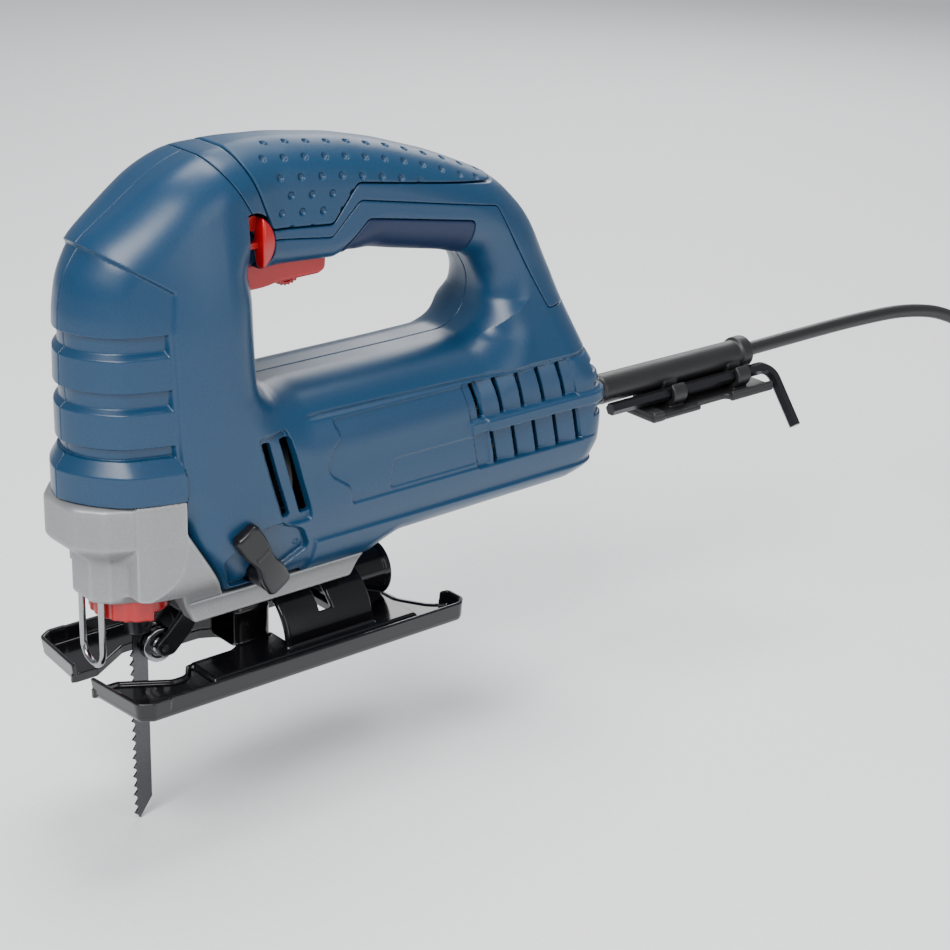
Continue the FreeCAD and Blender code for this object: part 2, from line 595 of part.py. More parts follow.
def roller_fork():
    fx, fz = FORK_PIVOT
    rx, rz = ROLLER_X, ROLLER_Z
    hub = rod("y", 4.6, -12.0, 12.0, fx, fz)
    arms = []
    outline = [(rx - 3.4, rz + 1.0), (rx - 1.0, rz - 3.2), (rx + 4.0, rz - 3.2), (rx + 11.0, rz + 3.0),
               (fx + 3.6, fz - 3.0), (fx - 3.8, fz + 2.0), (rx + 8.0, rz + 12.0), (rx + 1.0, rz + 4.0)]
    for y0 in (-6.2, 3.9):
        arms.append(side(outline, 20).common(box(-10, 60, y0, y0 + 2.3, 0, 60)))
    bridge = box(17.5, 22.0, -6.2, 6.2, 17.0, 25.5)
    solid = fuse(hub, bridge, *arms)
    solid = cut(solid, rod("y", 2.0 + RUN, -20, 20, fx, fz), rod("y", 1.5, -20, 20, rx, rz))
    parts["roller_fork"] = solid
    parts["roller_pin"] = rod("y", 1.5, -6.8, 6.8, rx, rz)
    groove = tube("y", 20.0, 3.7, -0.95, 0.95, rx, rz)
    parts["guide_roller"] = cut(tube("y", ROLLER_R, 1.5 + RUN, -3.5, 3.5, rx, rz), groove)


# ---- base plate ----
def base_plate():
    half_gap = [(SOLE_FRONT - 5, 6.4), (-14, 6.8), (4, 17.5), (9, 17.5), (13.5, 11.0), (34, 11.0),
                (40, 8.0), (43, 3.0)]
    outline = [(SOLE_FRONT, 4), (SOLE_FRONT + 3, SOLE_HALF - 3), (SOLE_FRONT + 6, SOLE_HALF),
               (SOLE_REAR - 4, SOLE_HALF), (SOLE_REAR, SOLE_HALF - 4), (SOLE_REAR, 24.5), (123, 20.5),
               (117, 16)]
    gap = plan(half_gap, -1, 20)
    blank = plan(outline, 0, PLATE)
    rim = plan(outline, 0, RIM).cut(plan(outline, -1, RIM + 1, PLATE - 0.2))
    open_rear = box(110, 140, -24.5, 24.5, PLATE, 20)
    window = box(SADDLE_FRONT + 4, SADDLE_REAR - 4, -17, 17, -1, PLATE + 1)
    ribs = []
    for s in (-1, 1):
        y0, y1 = sorted((s * 32.0, s * 35.0))
        ribs.append(box(20, 96, y0, y1, PLATE - 0.1, PLATE + 1.6))
    solid = cut(fuse(blank, rim, *ribs), gap, open_rear, window)
    parts["base_plate"] = biggest(solid)
    shell = tube("x", SADDLE_R, SADDLE_R - 2.2, SADDLE_FRONT, SADDLE_REAR, 0, BEVEL_Z)
    shell = shell.common(box(0, 120, -40, 40, PLATE, 60))
    slot = rod("x", 40, 69.0, 75.0, 0, BEVEL_Z)
    fan = across([(0.01, BEVEL_Z), (40 * math.tan(math.radians(56)), BEVEL_Z + 40)], 69.0, 75.0)
    parts["foot_saddle"] = shell.cut(common(slot, fan))
    port = tube("x", 11.0, 9.2, SADDLE_REAR, 112, 0, 14.5)
    web = tube("x", SADDLE_R - 2.2, 9.2, SADDLE_REAR - 2, SADDLE_REAR, 0, BEVEL_Z)
    web = common(web, box(80, 120, -24, 24, PLATE, 30)).cut(rod("x", 9.2, 80, 120, 0, 14.5))
    parts["dust_port"] = biggest(fuse(port, web))
    clamp = tube("x", SADDLE_R - 2.6, 16.5, 62, 82, 0, BEVEL_Z)
    clamp = clamp.common(across([(0.01, BEVEL_Z), (30 * math.tan(math.radians(14)), BEVEL_Z + 30)], 62, 82))
    parts["foot_clamp_plate"] = clamp.cut(rod("z", 2.6, 10, 40, 72, 0))
    screw = fuse(rod("z", 2.55, 16.0, 33.0, 72, 0), rod("z", 5.0, 12.0, 16.5, 72, 0))
    socket = plan([(72 + 2.5 * math.cos(k * math.pi / 3), 2.5 * math.sin(k * math.pi / 3))
                   for k in (3, 2, 1, 0)], 11, 14.5)
    parts["foot_clamp_screw"] = screw.cut(socket)


def screws():
    solids = []
    for x, z in POSTS:
        solids.append(fuse(rod("y", SCREW_R - 0.03, -8.8, SCREW_HEAD_Y + 0.02, x, z),
                           rod("y", SCREW_HEAD_R - 0.05, SCREW_HEAD_Y + 0.02, SCREW_HEAD_Y + 2.4, x, z)))
    parts["housing_screws"] = group(*solids)


# ---- mains cord, coil and plug ----
FLOOR_Z = BLADE_TIP
ROUTE = [
    (BOOT_END, 0, 65), (362, 0, 65.4), (402, 0.6, 65), (440, 2, 62.5), (474, 3, 54), (503, -2, 35),
    (522, -13, 8), (536, -25, -20), (552, -37, -45), (577, -48, FLOOR_Z + 3.4), (608, -53.2, FLOOR_Z + 3.4),
]
COIL_AT = (625.0, 0.0)
COIL_OUT = 57.6
COIL_IN = 30.4
COIL_TALL = 13.4
TAIL = 40.0                    # straight end of the cord, from the coil to the plug
TAIL_TURN = math.radians(125)  # where round the coil it leaves
PLUG_TALL = 16.0


def cord_tube():
    """Straight runs joined by tangent arcs."""
    points = [V(*p) for p in ROUTE]
    radii = []
    bends = []
    for i in range(1, len(points) - 1):
        before = points[i] - points[i - 1]
        after = points[i + 1] - points[i]
        shorter = min(before.Length, after.Length)
        turn = before.getAngle(after)
        reach = 0.45 * shorter
        radii.append(reach / math.tan(turn / 2))
        u = before.normalize()
        w = after.normalize()
        start = points[i] - u * reach
        end = points[i] + w * reach
        inward = (w - u).normalize()
        centre = points[i] + inward * (radii[-1] / math.cos(turn / 2))
        bends.append((start, centre - inward * radii[-1], end))
    edges = []
    here = points[0]
    for start, mid, end in bends:
        edges.append(Part.LineSegment(here, start).toShape())
        edges.append(Part.Arc(start, mid, end).toShape())
        here = end
    edges.append(Part.LineSegment(here, points[-1]).toShape())
    path = Part.Wire(edges)
    first = (points[1] - points[0]).normalize()
    ring = Part.Wire(Part.Circle(points[0], first, CORD_D / 2).toShape())
    solid = path.makePipeShell([ring], True, False)
    area = math.pi * (CORD_D / 2) ** 2
    print("cord radii", [round(r, 1) for r in radii], "length", round(path.Length, 1))
    print("cord volume over section times length", round(solid.Volume / (area * path.Length), 4))
    return solid


def cord():
    tube_solid = cord_tube()
    cx, cy = COIL_AT
    coil = tube("z", COIL_OUT, COIL_IN, FLOOR_Z, FLOOR_Z + COIL_TALL, cx, cy)
    parts["cord_coil"] = coil.cut(tube_solid)
    # the end of the cord leaves the top of the coil in a straight line down to the plug
    lane = COIL_OUT - CORD_D / 2
    start = V(cx + lane * math.cos(TAIL_TURN), cy + lane * math.sin(TAIL_TURN), 0)
    start.z = FLOOR_Z + COIL_TALL - CORD_D / 2
    heading = V(-math.sin(TAIL_TURN), math.cos(TAIL_TURN), 0)
    end = start + heading * TAIL
    end.z = FLOOR_Z + PLUG_TALL / 2
    tail = Part.makeCylinder(CORD_D / 2, (end - start).Length, start, end - start).cut(coil)
    parts["mains_cord"] = group(tube_solid, tail)
    body = fuse(box(16, 52, -14, 14, -PLUG_TALL / 2, PLUG_TALL / 2), rod("x", 6.0, 0, 16, 0, 0))
    pins = [rod("x", 2.4, 52, 71, s * 9.5, 0) for s in (-1, 1)]
    plug = fuse(body, *pins)
    plug.Placement = FreeCAD.Placement(end, FreeCAD.Rotation(V(1, 0, 0), heading))
    parts["mains_plug"] = plug


def main():
    gear_housing()
    housing_shells()
    wire_guard()
    bearing_bracket()
    drive()
    blade()
    motor()
    electrics()
    boot()
    hex_key()
    controls()
    roller_fork()
    base_plate()
    screws()
    cord()
    os.makedirs("parts", exist_ok=True)
    for name, shape in parts.items():
        shape.exportStep("parts/" + name + ".step")
        print(name, len(shape.Solids), shape.isValid(), round(shape.Volume))


main()
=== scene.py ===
"""Looks of a corded jigsaw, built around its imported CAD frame.

Blender's side is in metres. The shape functions are in millimetres in the same axes: +X to the
rear (cord), -Y the left side, +Z up, with the blade's centreline on the sole plane at the origin.
"""
import json
import math

import bmesh
import bpy
import numpy as np
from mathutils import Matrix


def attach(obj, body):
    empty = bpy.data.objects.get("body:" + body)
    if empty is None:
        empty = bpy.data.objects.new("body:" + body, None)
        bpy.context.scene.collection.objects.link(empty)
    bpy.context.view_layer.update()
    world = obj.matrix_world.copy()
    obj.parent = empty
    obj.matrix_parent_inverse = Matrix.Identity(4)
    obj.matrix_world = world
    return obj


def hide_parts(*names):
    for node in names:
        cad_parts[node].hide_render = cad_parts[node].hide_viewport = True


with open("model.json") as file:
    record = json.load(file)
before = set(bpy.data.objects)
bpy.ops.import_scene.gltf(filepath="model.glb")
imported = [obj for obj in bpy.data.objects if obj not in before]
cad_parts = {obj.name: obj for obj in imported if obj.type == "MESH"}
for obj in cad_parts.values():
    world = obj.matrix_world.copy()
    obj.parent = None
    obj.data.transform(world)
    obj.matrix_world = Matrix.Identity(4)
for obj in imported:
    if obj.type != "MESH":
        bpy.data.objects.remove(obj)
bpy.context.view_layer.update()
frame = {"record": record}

import openvdb as vdb
from mathutils import Matrix, Vector

MM = 0.001
FLOOR_Z = -62.5            # the blade's tip stands on it


# ------------------------------------------------------------------ camera, floor, light
def camera():
    yaw, pitch, roll = (math.radians(v) for v in (40.5, 22.0, 1.7))
    ahead = Vector((math.sin(yaw) * math.cos(pitch), math.cos(yaw) * math.cos(pitch), -math.sin(pitch)))
    level = Vector((math.cos(yaw), -math.sin(yaw), 0))
    upward = level.cross(ahead)
    right = math.cos(roll) * level + math.sin(roll) * upward
    top = -math.sin(roll) * level + math.cos(roll) * upward
    data = bpy.data.cameras.new("Camera")
    data.sensor_width = 36
    data.lens = 84.62
    data.clip_start, data.clip_end = 0.05, 20
    cam = bpy.data.objects.new("Camera", data)
    bpy.context.scene.collection.objects.link(cam)
    place = Vector((-0.3954, -0.6552, 0.38965))
    cam.matrix_world = Matrix([[right[i], top[i], -ahead[i], place[i]] for i in range(3)] + [[0, 0, 0, 1]])
    bpy.context.scene.camera = cam


def area_light(name, place, aim, size, power, colour=(1, 1, 1)):
    data = bpy.data.lights.new(name, "AREA")
    data.shape = "RECTANGLE"
    data.size, data.size_y = size
    data.energy = power
    data.color = colour
    lamp = bpy.data.objects.new(name, data)
    bpy.context.scene.collection.objects.link(lamp)
    lamp.location = place
    lamp.rotation_mode = "QUATERNION"
    lamp.rotation_quaternion = (Vector(place) - Vector(aim)).to_track_quat("Z", "Y")


def studio():
    middle = (0.08, 0, 0.08)
    area_light("KeyLight", (-0.75, -0.55, 1.05), middle, (0.7, 0.7), 24)
    area_light("TopLight", (0.35, 0.15, 1.35), middle, (0.8, 0.6), 16)
    area_light("LeftLight", (0.45, -1.35, 0.55), middle, (0.7, 0.9), 5)
    area_light("BackLight", (1.2, 0.9, 0.8), middle, (0.8, 0.8), 9)
    world = bpy.data.worlds.new("World")
    bpy.context.scene.world = world
    world.use_nodes = True
    world.node_tree.nodes["Background"].inputs[0].default_value = (0.93, 0.95, 1.0, 1)
    world.node_tree.nodes["Background"].inputs[1].default_value = 0.42
    mesh = bpy.data.meshes.new("Floor")
    bm = bmesh.new()
    bmesh.ops.create_grid(bm, x_segments=2, y_segments=2, size=12)
    bm.to_mesh(mesh)
    floor = bpy.data.objects.new("Floor", mesh)
    floor.location.z = FLOOR_Z * MM - 0.0002
    bpy.context.scene.collection.objects.link(floor)
    mesh.materials.append(material("Floor", (0.86, 0.87, 0.88), 0.9, speckle=(0.02, 300)))


# ------------------------------------------------------------------ materials
def material(name, colour, rough, metal=0.0, coat=0.0, coat_rough=0.1, speckle=(0.06, 900), bump=(0.0, 1500),
             smudge=0.08, painted_crease_shade=0.0, spec=0.5):
    """A moulded or painted surface: fine speckle in the colour, uneven roughness and a grain in the bump.

    speckle and bump are (strength, scale per metre); painted_crease_shade darkens the colour in the creases
    as painted shade and lightens it on sharp edges as a painted highlight.
    """
    mat = bpy.data.materials.new(name)
    mat.use_nodes = True
    tree = mat.node_tree
    nodes, links = tree.nodes, tree.links
    shader = nodes["Principled BSDF"]
    shader.inputs["Metallic"].default_value = metal
    shader.inputs["Coat Weight"].default_value = coat
    shader.inputs["Coat Roughness"].default_value = coat_rough
    shader.inputs["Specular IOR Level"].default_value = spec
    where = nodes.new("ShaderNodeTexCoord")
    fine = nodes.new("ShaderNodeTexNoise")
    fine.inputs["Scale"].default_value = speckle[1]
    fine.inputs["Detail"].default_value = 3
    links.new(where.outputs["Object"], fine.inputs["Vector"])
    ramp = nodes.new("ShaderNodeMix")
    ramp.data_type = "RGBA"
    low = [max(0.0, c * (1 - 2 * speckle[0])) for c in colour]
    high = [min(1.0, c * (1 + 2 * speckle[0])) for c in colour]
    ramp.inputs["A"].default_value = (*low, 1)
    ramp.inputs["B"].default_value = (*high, 1)
    links.new(fine.outputs["Fac"], ramp.inputs["Factor"])
    tone = ramp.outputs["Result"]
    # painted shade: the colour darkens in the creases and lightens on sharp edges as a painted highlight,
    # read from the pointiness
    if painted_crease_shade:
        crease = nodes.new("ShaderNodeNewGeometry")
        level = nodes.new("ShaderNodeMapRange")
        level.inputs["From Min"].default_value = 0.47
        level.inputs["From Max"].default_value = 0.53
        level.inputs["To Min"].default_value = 1 - painted_crease_shade
        level.inputs["To Max"].default_value = 1 + painted_crease_shade * 0.6
        links.new(crease.outputs["Pointiness"], level.inputs["Value"])
        shade = nodes.new("ShaderNodeMix")
        shade.data_type = "RGBA"
        shade.blend_type = "MULTIPLY"
        shade.inputs["Factor"].default_value = 1
        links.new(tone, shade.inputs["A"])
        links.new(level.outputs["Result"], shade.inputs["B"])
        tone = shade.outputs["Result"]
    links.new(tone, shader.inputs["Base Color"])
    broad = nodes.new("ShaderNodeTexNoise")
    broad.inputs["Scale"].default_value = 28
    broad.inputs["Detail"].default_value = 4
    links.new(where.outputs["Object"], broad.inputs["Vector"])
    rub = nodes.new("ShaderNodeMapRange")
    rub.inputs["To Min"].default_value = max(0.02, rough - smudge)
    rub.inputs["To Max"].default_value = min(1.0, rough + smudge)
    links.new(broad.outputs["Fac"], rub.inputs["Value"])
    links.new(rub.outputs["Result"], shader.inputs["Roughness"])
    if bump[0]:
        grain = nodes.new("ShaderNodeTexNoise")
        grain.inputs["Scale"].default_value = bump[1]
        grain.inputs["Detail"].default_value = 2
        links.new(where.outputs["Object"], grain.inputs["Vector"])
        relief = nodes.new("ShaderNodeBump")
        relief.inputs["Strength"].default_value = 0.6
        relief.inputs["Distance"].default_value = bump[0] * MM
        links.new(grain.outputs["Fac"], relief.inputs["Height"])
        links.new(relief.outputs["Normal"], shader.inputs["Normal"])
    return mat


# ------------------------------------------------------------------ shape kit (millimetres)
def ramp01(t):
    t = np.clip(t, 0, 1)
    return t * t * (3 - 2 * t)


def step(t, start, end):
    """0 before start, 1 after end, smooth between."""
    return ramp01((t - start) / (end - start))


def both(a, b, r=0.0):
    """Intersection of two shapes, its edge rounded to radius r."""
    if np.isscalar(r) and r <= 0:
        return np.maximum(a, b)
    u, v = np.maximum(a + r, 0), np.maximum(b + r, 0)
    return np.minimum(np.maximum(a, b), -r) + np.sqrt(u * u + v * v)


def either(a, b, r=0.0):
    """Union of two shapes, its crease filled to radius r."""
    return -both(-a, -b, r)


def less(a, b, r=0.0):
    """Shape a with b taken away."""
    return both(a, -b, r)


def box_at(x, y, z, low, high, r=0.0):
    """A box from its two corners, its edges rounded to radius r."""
    d = [np.abs(v - (p + q) / 2) - (q - p) / 2 + r for v, p, q in zip((x, y, z), low, high)]
    out = np.sqrt(sum(np.maximum(v, 0) ** 2 for v in d))
    return out + np.minimum(np.maximum(np.maximum(d[0], d[1]), d[2]), 0) - r


def rod_at(u, v, w, centre, radius, low, high, r=0.0):
    """A round bar along w: u and v are across it."""
    across = np.hypot(u - centre[0], v - centre[1]) - radius
    along = np.abs(w - (low + high) / 2) - (high - low) / 2
    return both(across, along, r)


def curve(points):
    """A smooth function through (t, value) points, level beyond its ends."""
    t, v = (np.array(c, float) for c in zip(*points))
    slope = np.gradient(v, t)

    def value(q):
        q = np.clip(q, t[0], t[-1])
        i = np.clip(np.searchsorted(t, q) - 1, 0, len(t) - 2)
        h = (t[i + 1] - t[i])
        s = (q - t[i]) / h
        return ((2 * s**3 - 3 * s**2 + 1) * v[i] + (s**3 - 2 * s**2 + s) * h * slope[i]
                + (3 * s**2 - 2 * s**3) * v[i + 1] + (s**3 - s**2) * h * slope[i + 1])
    return value


def rounded(points, steps=6):
    """A closed outline whose corners (u, v, radius) are arcs, cut short where the sides are."""
    made = []
    n = len(points)
    for i in range(n):
        a, b, c = (np.array(points[j % n][:2], float) for j in (i - 1, i, i + 1))
        radius = points[i][2] if len(points[i]) > 2 else 0
        u, w = a - b, c - b
        lu, lw = np.linalg.norm(u), np.linalg.norm(w)
        u, w = u / lu, w / lw
        half = math.acos(max(-1.0, min(1.0, float(u @ w)))) / 2
        if radius <= 0 or half > math.pi / 2 - 0.01:
            made.append(b)
            continue
        reach = min(radius / math.tan(half), 0.49 * lu, 0.49 * lw)
        p, q = b + u * reach, b + w * reach
        for k in range(steps + 1):
            s = k / steps
            made.append((1 - s)**2 * p + 2 * s * (1 - s) * b + s**2 * q)
    return np.array(made)


class Outline:
    """Signed distance to a closed outline in a plane, kept on a grid and read back smoothly."""

    def __init__(self, points, pitch=1.0, margin=30):
        loop = rounded(points)
        self.low = loop.min(0) - margin
        size = ((loop.max(0) + margin - self.low) / pitch).astype(int) + 2
        self.pitch = pitch
        u, v = np.meshgrid(*(self.low[i] + pitch * np.arange(size[i]) for i in (0, 1)), indexing="ij")
        best = np.full(u.shape, 1e9)
        inside = np.zeros(u.shape, bool)
        for a, b in zip(loop, np.roll(loop, -1, 0)):
            d = b - a
            t = np.clip(((u - a[0]) * d[0] + (v - a[1]) * d[1]) / max(d @ d, 1e-12), 0, 1)
            best = np.minimum(best, (u - a[0] - t * d[0])**2 + (v - a[1] - t * d[1])**2)
            crossing = (a[1] > v) != (b[1] > v)
            with np.errstate(divide="ignore", invalid="ignore"):
                at = a[0] + (v - a[1]) * d[0] / (d[1] if d[1] else 1e-12)
            inside ^= crossing & (u < at)
        self.field = np.where(inside, -1, 1) * np.sqrt(best)

    def __call__(self, u, v):
        p = (u - self.low[0]) / self.pitch
        q = (v - self.low[1]) / self.pitch
        p = np.clip(p, 1, self.field.shape[0] - 2.01)
        q = np.clip(q, 1, self.field.shape[1] - 2.01)
        i, j = np.rint(p).astype(np.int32), np.rint(q).astype(np.int32)
        s, t = p - i, q - j
        ws = (0.5 * (0.5 - s)**2, 0.75 - s * s, 0.5 * (0.5 + s)**2)
        wt = (0.5 * (0.5 - t)**2, 0.75 - t * t, 0.5 * (0.5 + t)**2)
        flat = self.field.ravel()
        width = self.field.shape[1]
        total = 0
        for a in range(3):
            row = (i + a - 1) * width + j
            total = total + ws[a] * sum(wt[b] * flat[row + b - 1] for b in range(3))
        return total


BLOCK = 8                  # voxels along a block of the sparse grid
BATCH = 1500               # blocks worked out at a time
BAND = 3                   # voxels of true distance either side of the surface


def grid_values(shape, low, high, voxel):
    """The shape on a grid: in full near its surface, and just inside or outside elsewhere."""
    block = BLOCK
    count = [int(math.ceil((h - l) / (voxel * block))) for l, h in zip(low, high)]
    size = voxel * block
    axes = [l + size * (np.arange(c) + 0.5) for l, c in zip(low, count)]
    cx, cy, cz = (a.ravel() for a in np.meshgrid(*axes, indexing="ij"))
    rough = shape(cx, cy, cz)
    near = np.flatnonzero(np.abs(rough) < size * 1.35)
    dense = np.empty([c * block for c in count], np.float32)
    view = dense.reshape(count[0], block, count[1], block, count[2], block).transpose(0, 2, 4, 1, 3, 5)
    view[...] = np.where(rough > 0, BAND * voxel, -BAND * voxel).reshape(count)[..., None, None, None]
    offset = (np.arange(block) + 0.5) * voxel - size / 2
    ox, oy, oz = (a.ravel() for a in np.meshgrid(offset, offset, offset, indexing="ij"))
    for start in range(0, len(near), BATCH):
        part = near[start:start + BATCH]
        values = shape(*((c[part, None] + o).ravel() for c, o in ((cx, ox), (cy, oy), (cz, oz))))
        where = np.unravel_index(part, count)
        view[where] = np.clip(values, -BAND * voxel, BAND * voxel).reshape(-1, block, block, block)
    return dense


def slopes(shape, p, h):
    """The shape's gradient at the points p."""
    x, y, z = p.T
    return np.stack([shape(x + h, y, z) - shape(x - h, y, z), shape(x, y + h, z) - shape(x, y - h, z),
                     shape(x, y, z + h) - shape(x, y, z - h)], 1) / (2 * h)


def settle(shape, p, voxel, rounds=2):
    """Moves points onto the exact surface, and returns them with its normals."""
    start = p.copy()
    for _ in range(rounds):
        g = slopes(shape, p, voxel * 0.2)
        length = np.maximum((g * g).sum(1), 0.05)
        p = p - g * (shape(*p.T) / length)[:, None]
        off = p - start
        far = np.linalg.norm(off, axis=1)
        p = start + off * np.minimum(1, 0.7 * voxel / np.maximum(far, 1e-9))[:, None]
    g = slopes(shape, p, voxel * 0.35)
    return p, g / np.maximum(np.linalg.norm(g, axis=1), 1e-9)[:, None]


def carve(name, shape, low, high, voxel, body, mat, slot=None, stands_for=(), most=90000):
    """A piece from a shape function in millimetres: meshed, thinned to most faces, and put in place."""
    low = [v - BAND * voxel for v in low]
    high = [v + BAND * voxel for v in high]
    grid = vdb.FloatGrid(BAND * voxel)
    grid.copyFromArray(grid_values(shape, low, high, voxel), tolerance=0)
    points, quads = grid.convertToQuads(0.0)
    points = points * voxel + np.array(low) + voxel / 2
    mesh = bpy.data.meshes.new(name)
    mesh.vertices.add(len(points))
    mesh.vertices.foreach_set("co", points.astype(np.float32).ravel())
    mesh.loops.add(len(quads) * 4)
    mesh.loops.foreach_set("vertex_index", quads.astype(np.int32).ravel())
    mesh.polygons.add(len(quads))
    mesh.polygons.foreach_set("loop_start", np.arange(len(quads), dtype=np.int32) * 4)
    mesh.update(calc_edges=True)
    mesh.validate()
    piece = bpy.data.objects.new(name, mesh)
    bpy.context.scene.collection.objects.link(piece)
    if len(quads) > most:
        thin = piece.modifiers.new("Thin", "DECIMATE")
        thin.ratio = most / len(quads)
        mesh = bpy.data.meshes.new_from_object(piece.evaluated_get(bpy.context.evaluated_depsgraph_get()))
        mesh.name = name + "Mesh"
        piece.modifiers.clear()
        piece.data = mesh
    where = np.empty(len(mesh.vertices) * 3, np.float32)
    mesh.vertices.foreach_get("co", where)
    where, normals = settle(shape, where.reshape(-1, 3).astype(float), voxel)
    mesh.vertices.foreach_set("co", (where * MM).astype(np.float32).ravel())
    mesh.polygons.foreach_set("use_smooth", np.ones(len(mesh.polygons), bool))
    mesh.update()
    mesh.normals_split_custom_set_from_vertices(normals)
    mesh.materials.append(mat)
    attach(piece, body)
    if stands_for:
        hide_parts(*stands_for)
    print(f"PIECE {name}: {len(quads)} quads, {len(mesh.polygons)} faces kept")
    return piece


# ------------------------------------------------------------------ housing
OUTER = Outline([(-30.8, 20, 0), (-30.8, 122, 60), (-30.3, 148, 40), (-28.2, 161, 30), (-20, 172.6, 26),
                 (-4, 183.5, 60), (9.4, 193.0, 60), (24, 198.9, 40), (45, 200.2, 100), (62, 199.5, 100),
                 (90, 195.8, 90), (110, 191.2, 90), (136, 183.0, 80), (163, 171.5, 50), (180, 155, 50),
                 (191, 131, 60), (200, 108, 60), (206.5, 90, 30), (209, 78, 20), (209, 57, 10), (203, 43, 12),
                 (103, 41, 8), (91, 34.3, 2), (25, 34.3, 0), (4, 66, 0), (4, 20, 0)])
OPENING = Outline([(40.8, 109.5, 9), (40.8, 155.6, 2), (78.6, 153.4, 2), (85.5, 155.4, 3), (112.5, 149.6, 40),
                   (136, 145.2, 10), (150.5, 141.0, 8), (157.5, 130, 16), (154.5, 116, 20), (146, 109.9, 20),
                   (120, 109.5, 20)])
HALF_WIDTH = 33.0          # half the barrel's width
HALF_PLAN = curve([(-45, 6.7), (-36, 11.8), (-23.6, 18.8), (-14.3, 24.1), (-4.9, 27.6), (3.7, 30.1),
                   (14, 32.2), (25, HALF_WIDTH), (60, HALF_WIDTH), (210, HALF_WIDTH)])
HALF_TALL = curve([(30, 24.5), (36, 25.2), (44, 28.6), (52, 31.2), (62, 33), (80, 33), (125, 33), (145, 32.2),
                   (160, 30.2), (175, 27.4), (190, 24.5), (205, 22)])
HALF_POST = curve([(80, 33), (90, 32.3), (98, 30.2), (108, 26.6), (118, 23.6), (130, 21.3), (146, 20.0),
                   (165, 19.4), (205, 19.2)])
KINK = Outline([(-80, 171.5, 0), (-20.5, 171.5, 2), (2.6, 156.2, 1), (1.2, 142, 0), (1.9, 121, 0),
                (2.4, 100, 0), (3.6, 86, 0), (4.4, 50, 0), (-80, 50, 0)], pitch=0.7)
RINGS = ((141.4, 135.4, 133.3), (121.2, 115.2, 113.3), (100.4, 94.6, 91.0))   # top, lip top, lip foot
SEAM_COVER = Outline([(22, 215, 0), (24.2, 199, 0), (45.5, 166.5, 2), (76, 162.6, 3), (89, 174.6, 3),
                      (156, 162.2, 3), (180.5, 117.5, 2), (240, 117.5, 0), (240, 215, 0)], pitch=0.7)
SEAM_GRIP = Outline([(33.5, 215, 0), (35.5, 199, 0), (48.8, 169.6, 2.5), (76.5, 167.3, 3), (87.8, 181.2, 3),
                     (158, 170.3, 4), (168, 182, 0), (168, 215, 0)], pitch=0.7)
SEAM_FINGER = Outline([(82, 157.2, 0), (93, 167.0, 3), (144.5, 158.2, 3), (144.5, 146.0, 3), (141, 120, 0),
                       (82, 120, 0)], pitch=0.7)
PANEL = Outline([(68, 96.3, 1.5), (139, 96.3, 1.5), (144.5, 61.5, 1.5), (76, 61.5, 1.5), (74.5, 69, 3),
                 (64.5, 76, 9), (64.5, 84, 9), (71, 89, 3)], pitch=0.6, margin=12)
LABEL = Outline([(96, 75, 2), (136, 75, 2), (138.5, 63.5, 2), (93.5, 63.5, 2)], pitch=0.6, margin=12)
VENT_BAY = Outline([(33, 97.5, 2), (46.5, 97.5, 2), (57.5, 60, 2), (44, 60, 2)], pitch=0.6, margin=12)
LEDGE = Outline([(59.5, 50, 1), (204, 50, 1), (230, 50, 0), (230, 20, 0), (59.5, 20, 0)],
                pitch=0.6, margin=12)
DIAL = Outline([(26.0, 37.5, 2), (38.5, 37, 2), (57.5, 48, 3), (53.0, 57.0, 6), (42.0, 61.8, 6),
                (29.0, 60.5, 6), (19.5, 50.5, 3)],
               pitch=0.6, margin=12)
VENT_LEAN = 0.22
VENT_PITCH = 11.0
VENT_ROWS = ((140.0, 81.8, 96.4), (144.0, 61.4, 75.6))    # first slot's x, bottom, top
BUTTON = (41.5, 166.0)
BUTTON_R = 11.5
STEM = (41.5, 173.0)
LEVER = (38.5, 42.0)
MOTOR_Z = 72.0


def body_form(x, y, z):
    """The whole plastic body before seams, ribs and openings are cut."""
    side = both(OUTER(x, z), -OPENING(x, z))
    ay = np.abs(y)
    to_handle = step(x, 22, 56) * step(z, 108, 124)
    rear_post = step(x, 146, 172)
    head = HALF_PLAN(x) * HALF_TALL(z) / HALF_WIDTH
    post = HALF_POST(z)
    half = head + (post - head) * np.maximum(to_handle, rear_post * step(z, 78, 92))
    barrel = 1 - step(z, 108, 122)
    edge = 16.5 + (26 - 16.5) * barrel * step(x, 30, 60) * (1 - step(x, 150, 180))
    edge = edge + (8 - edge) * (1 - step(z, 56, 76))
    edge = edge + (12 - edge) * step(x, 188, 200) * (1 - step(z, 84, 100))
    edge = edge - 4.0 * step(x, 20, 36) * (1 - step(x, 44, 60)) * (1 - step(z, 146, 160)) * step(z, 112, 124)
    edge = edge - 9.5 * step(x, 40, 46) * (1 - step(x, 84, 104)) * (1 - step(z, 160, 176)) * step(z, 130, 146)
    return both(side, ay - half, edge)


VENT_HALF = 1.35           # half the width of a rear slot
FRONT_VENTS = ((37.0, 3.3), (45.6, 4.6))    # x at the top, width
FRONT_LEAN = 0.29
SIDE_FROM = 20.0           # y where the sides begin
FRONT_STEP = 1.9           # how far the ribbed front lies below the sides
PANEL_DEPTH = 0.9
LOUVRE_DEPTH = 1.9
LEDGE_RISE = 1.5
DIAL_DEPTH = 2.6
DIAL_DOTS = (34, 55, 76, 97)    # degrees round the lever's pivot
DOT_REACH = 16.2


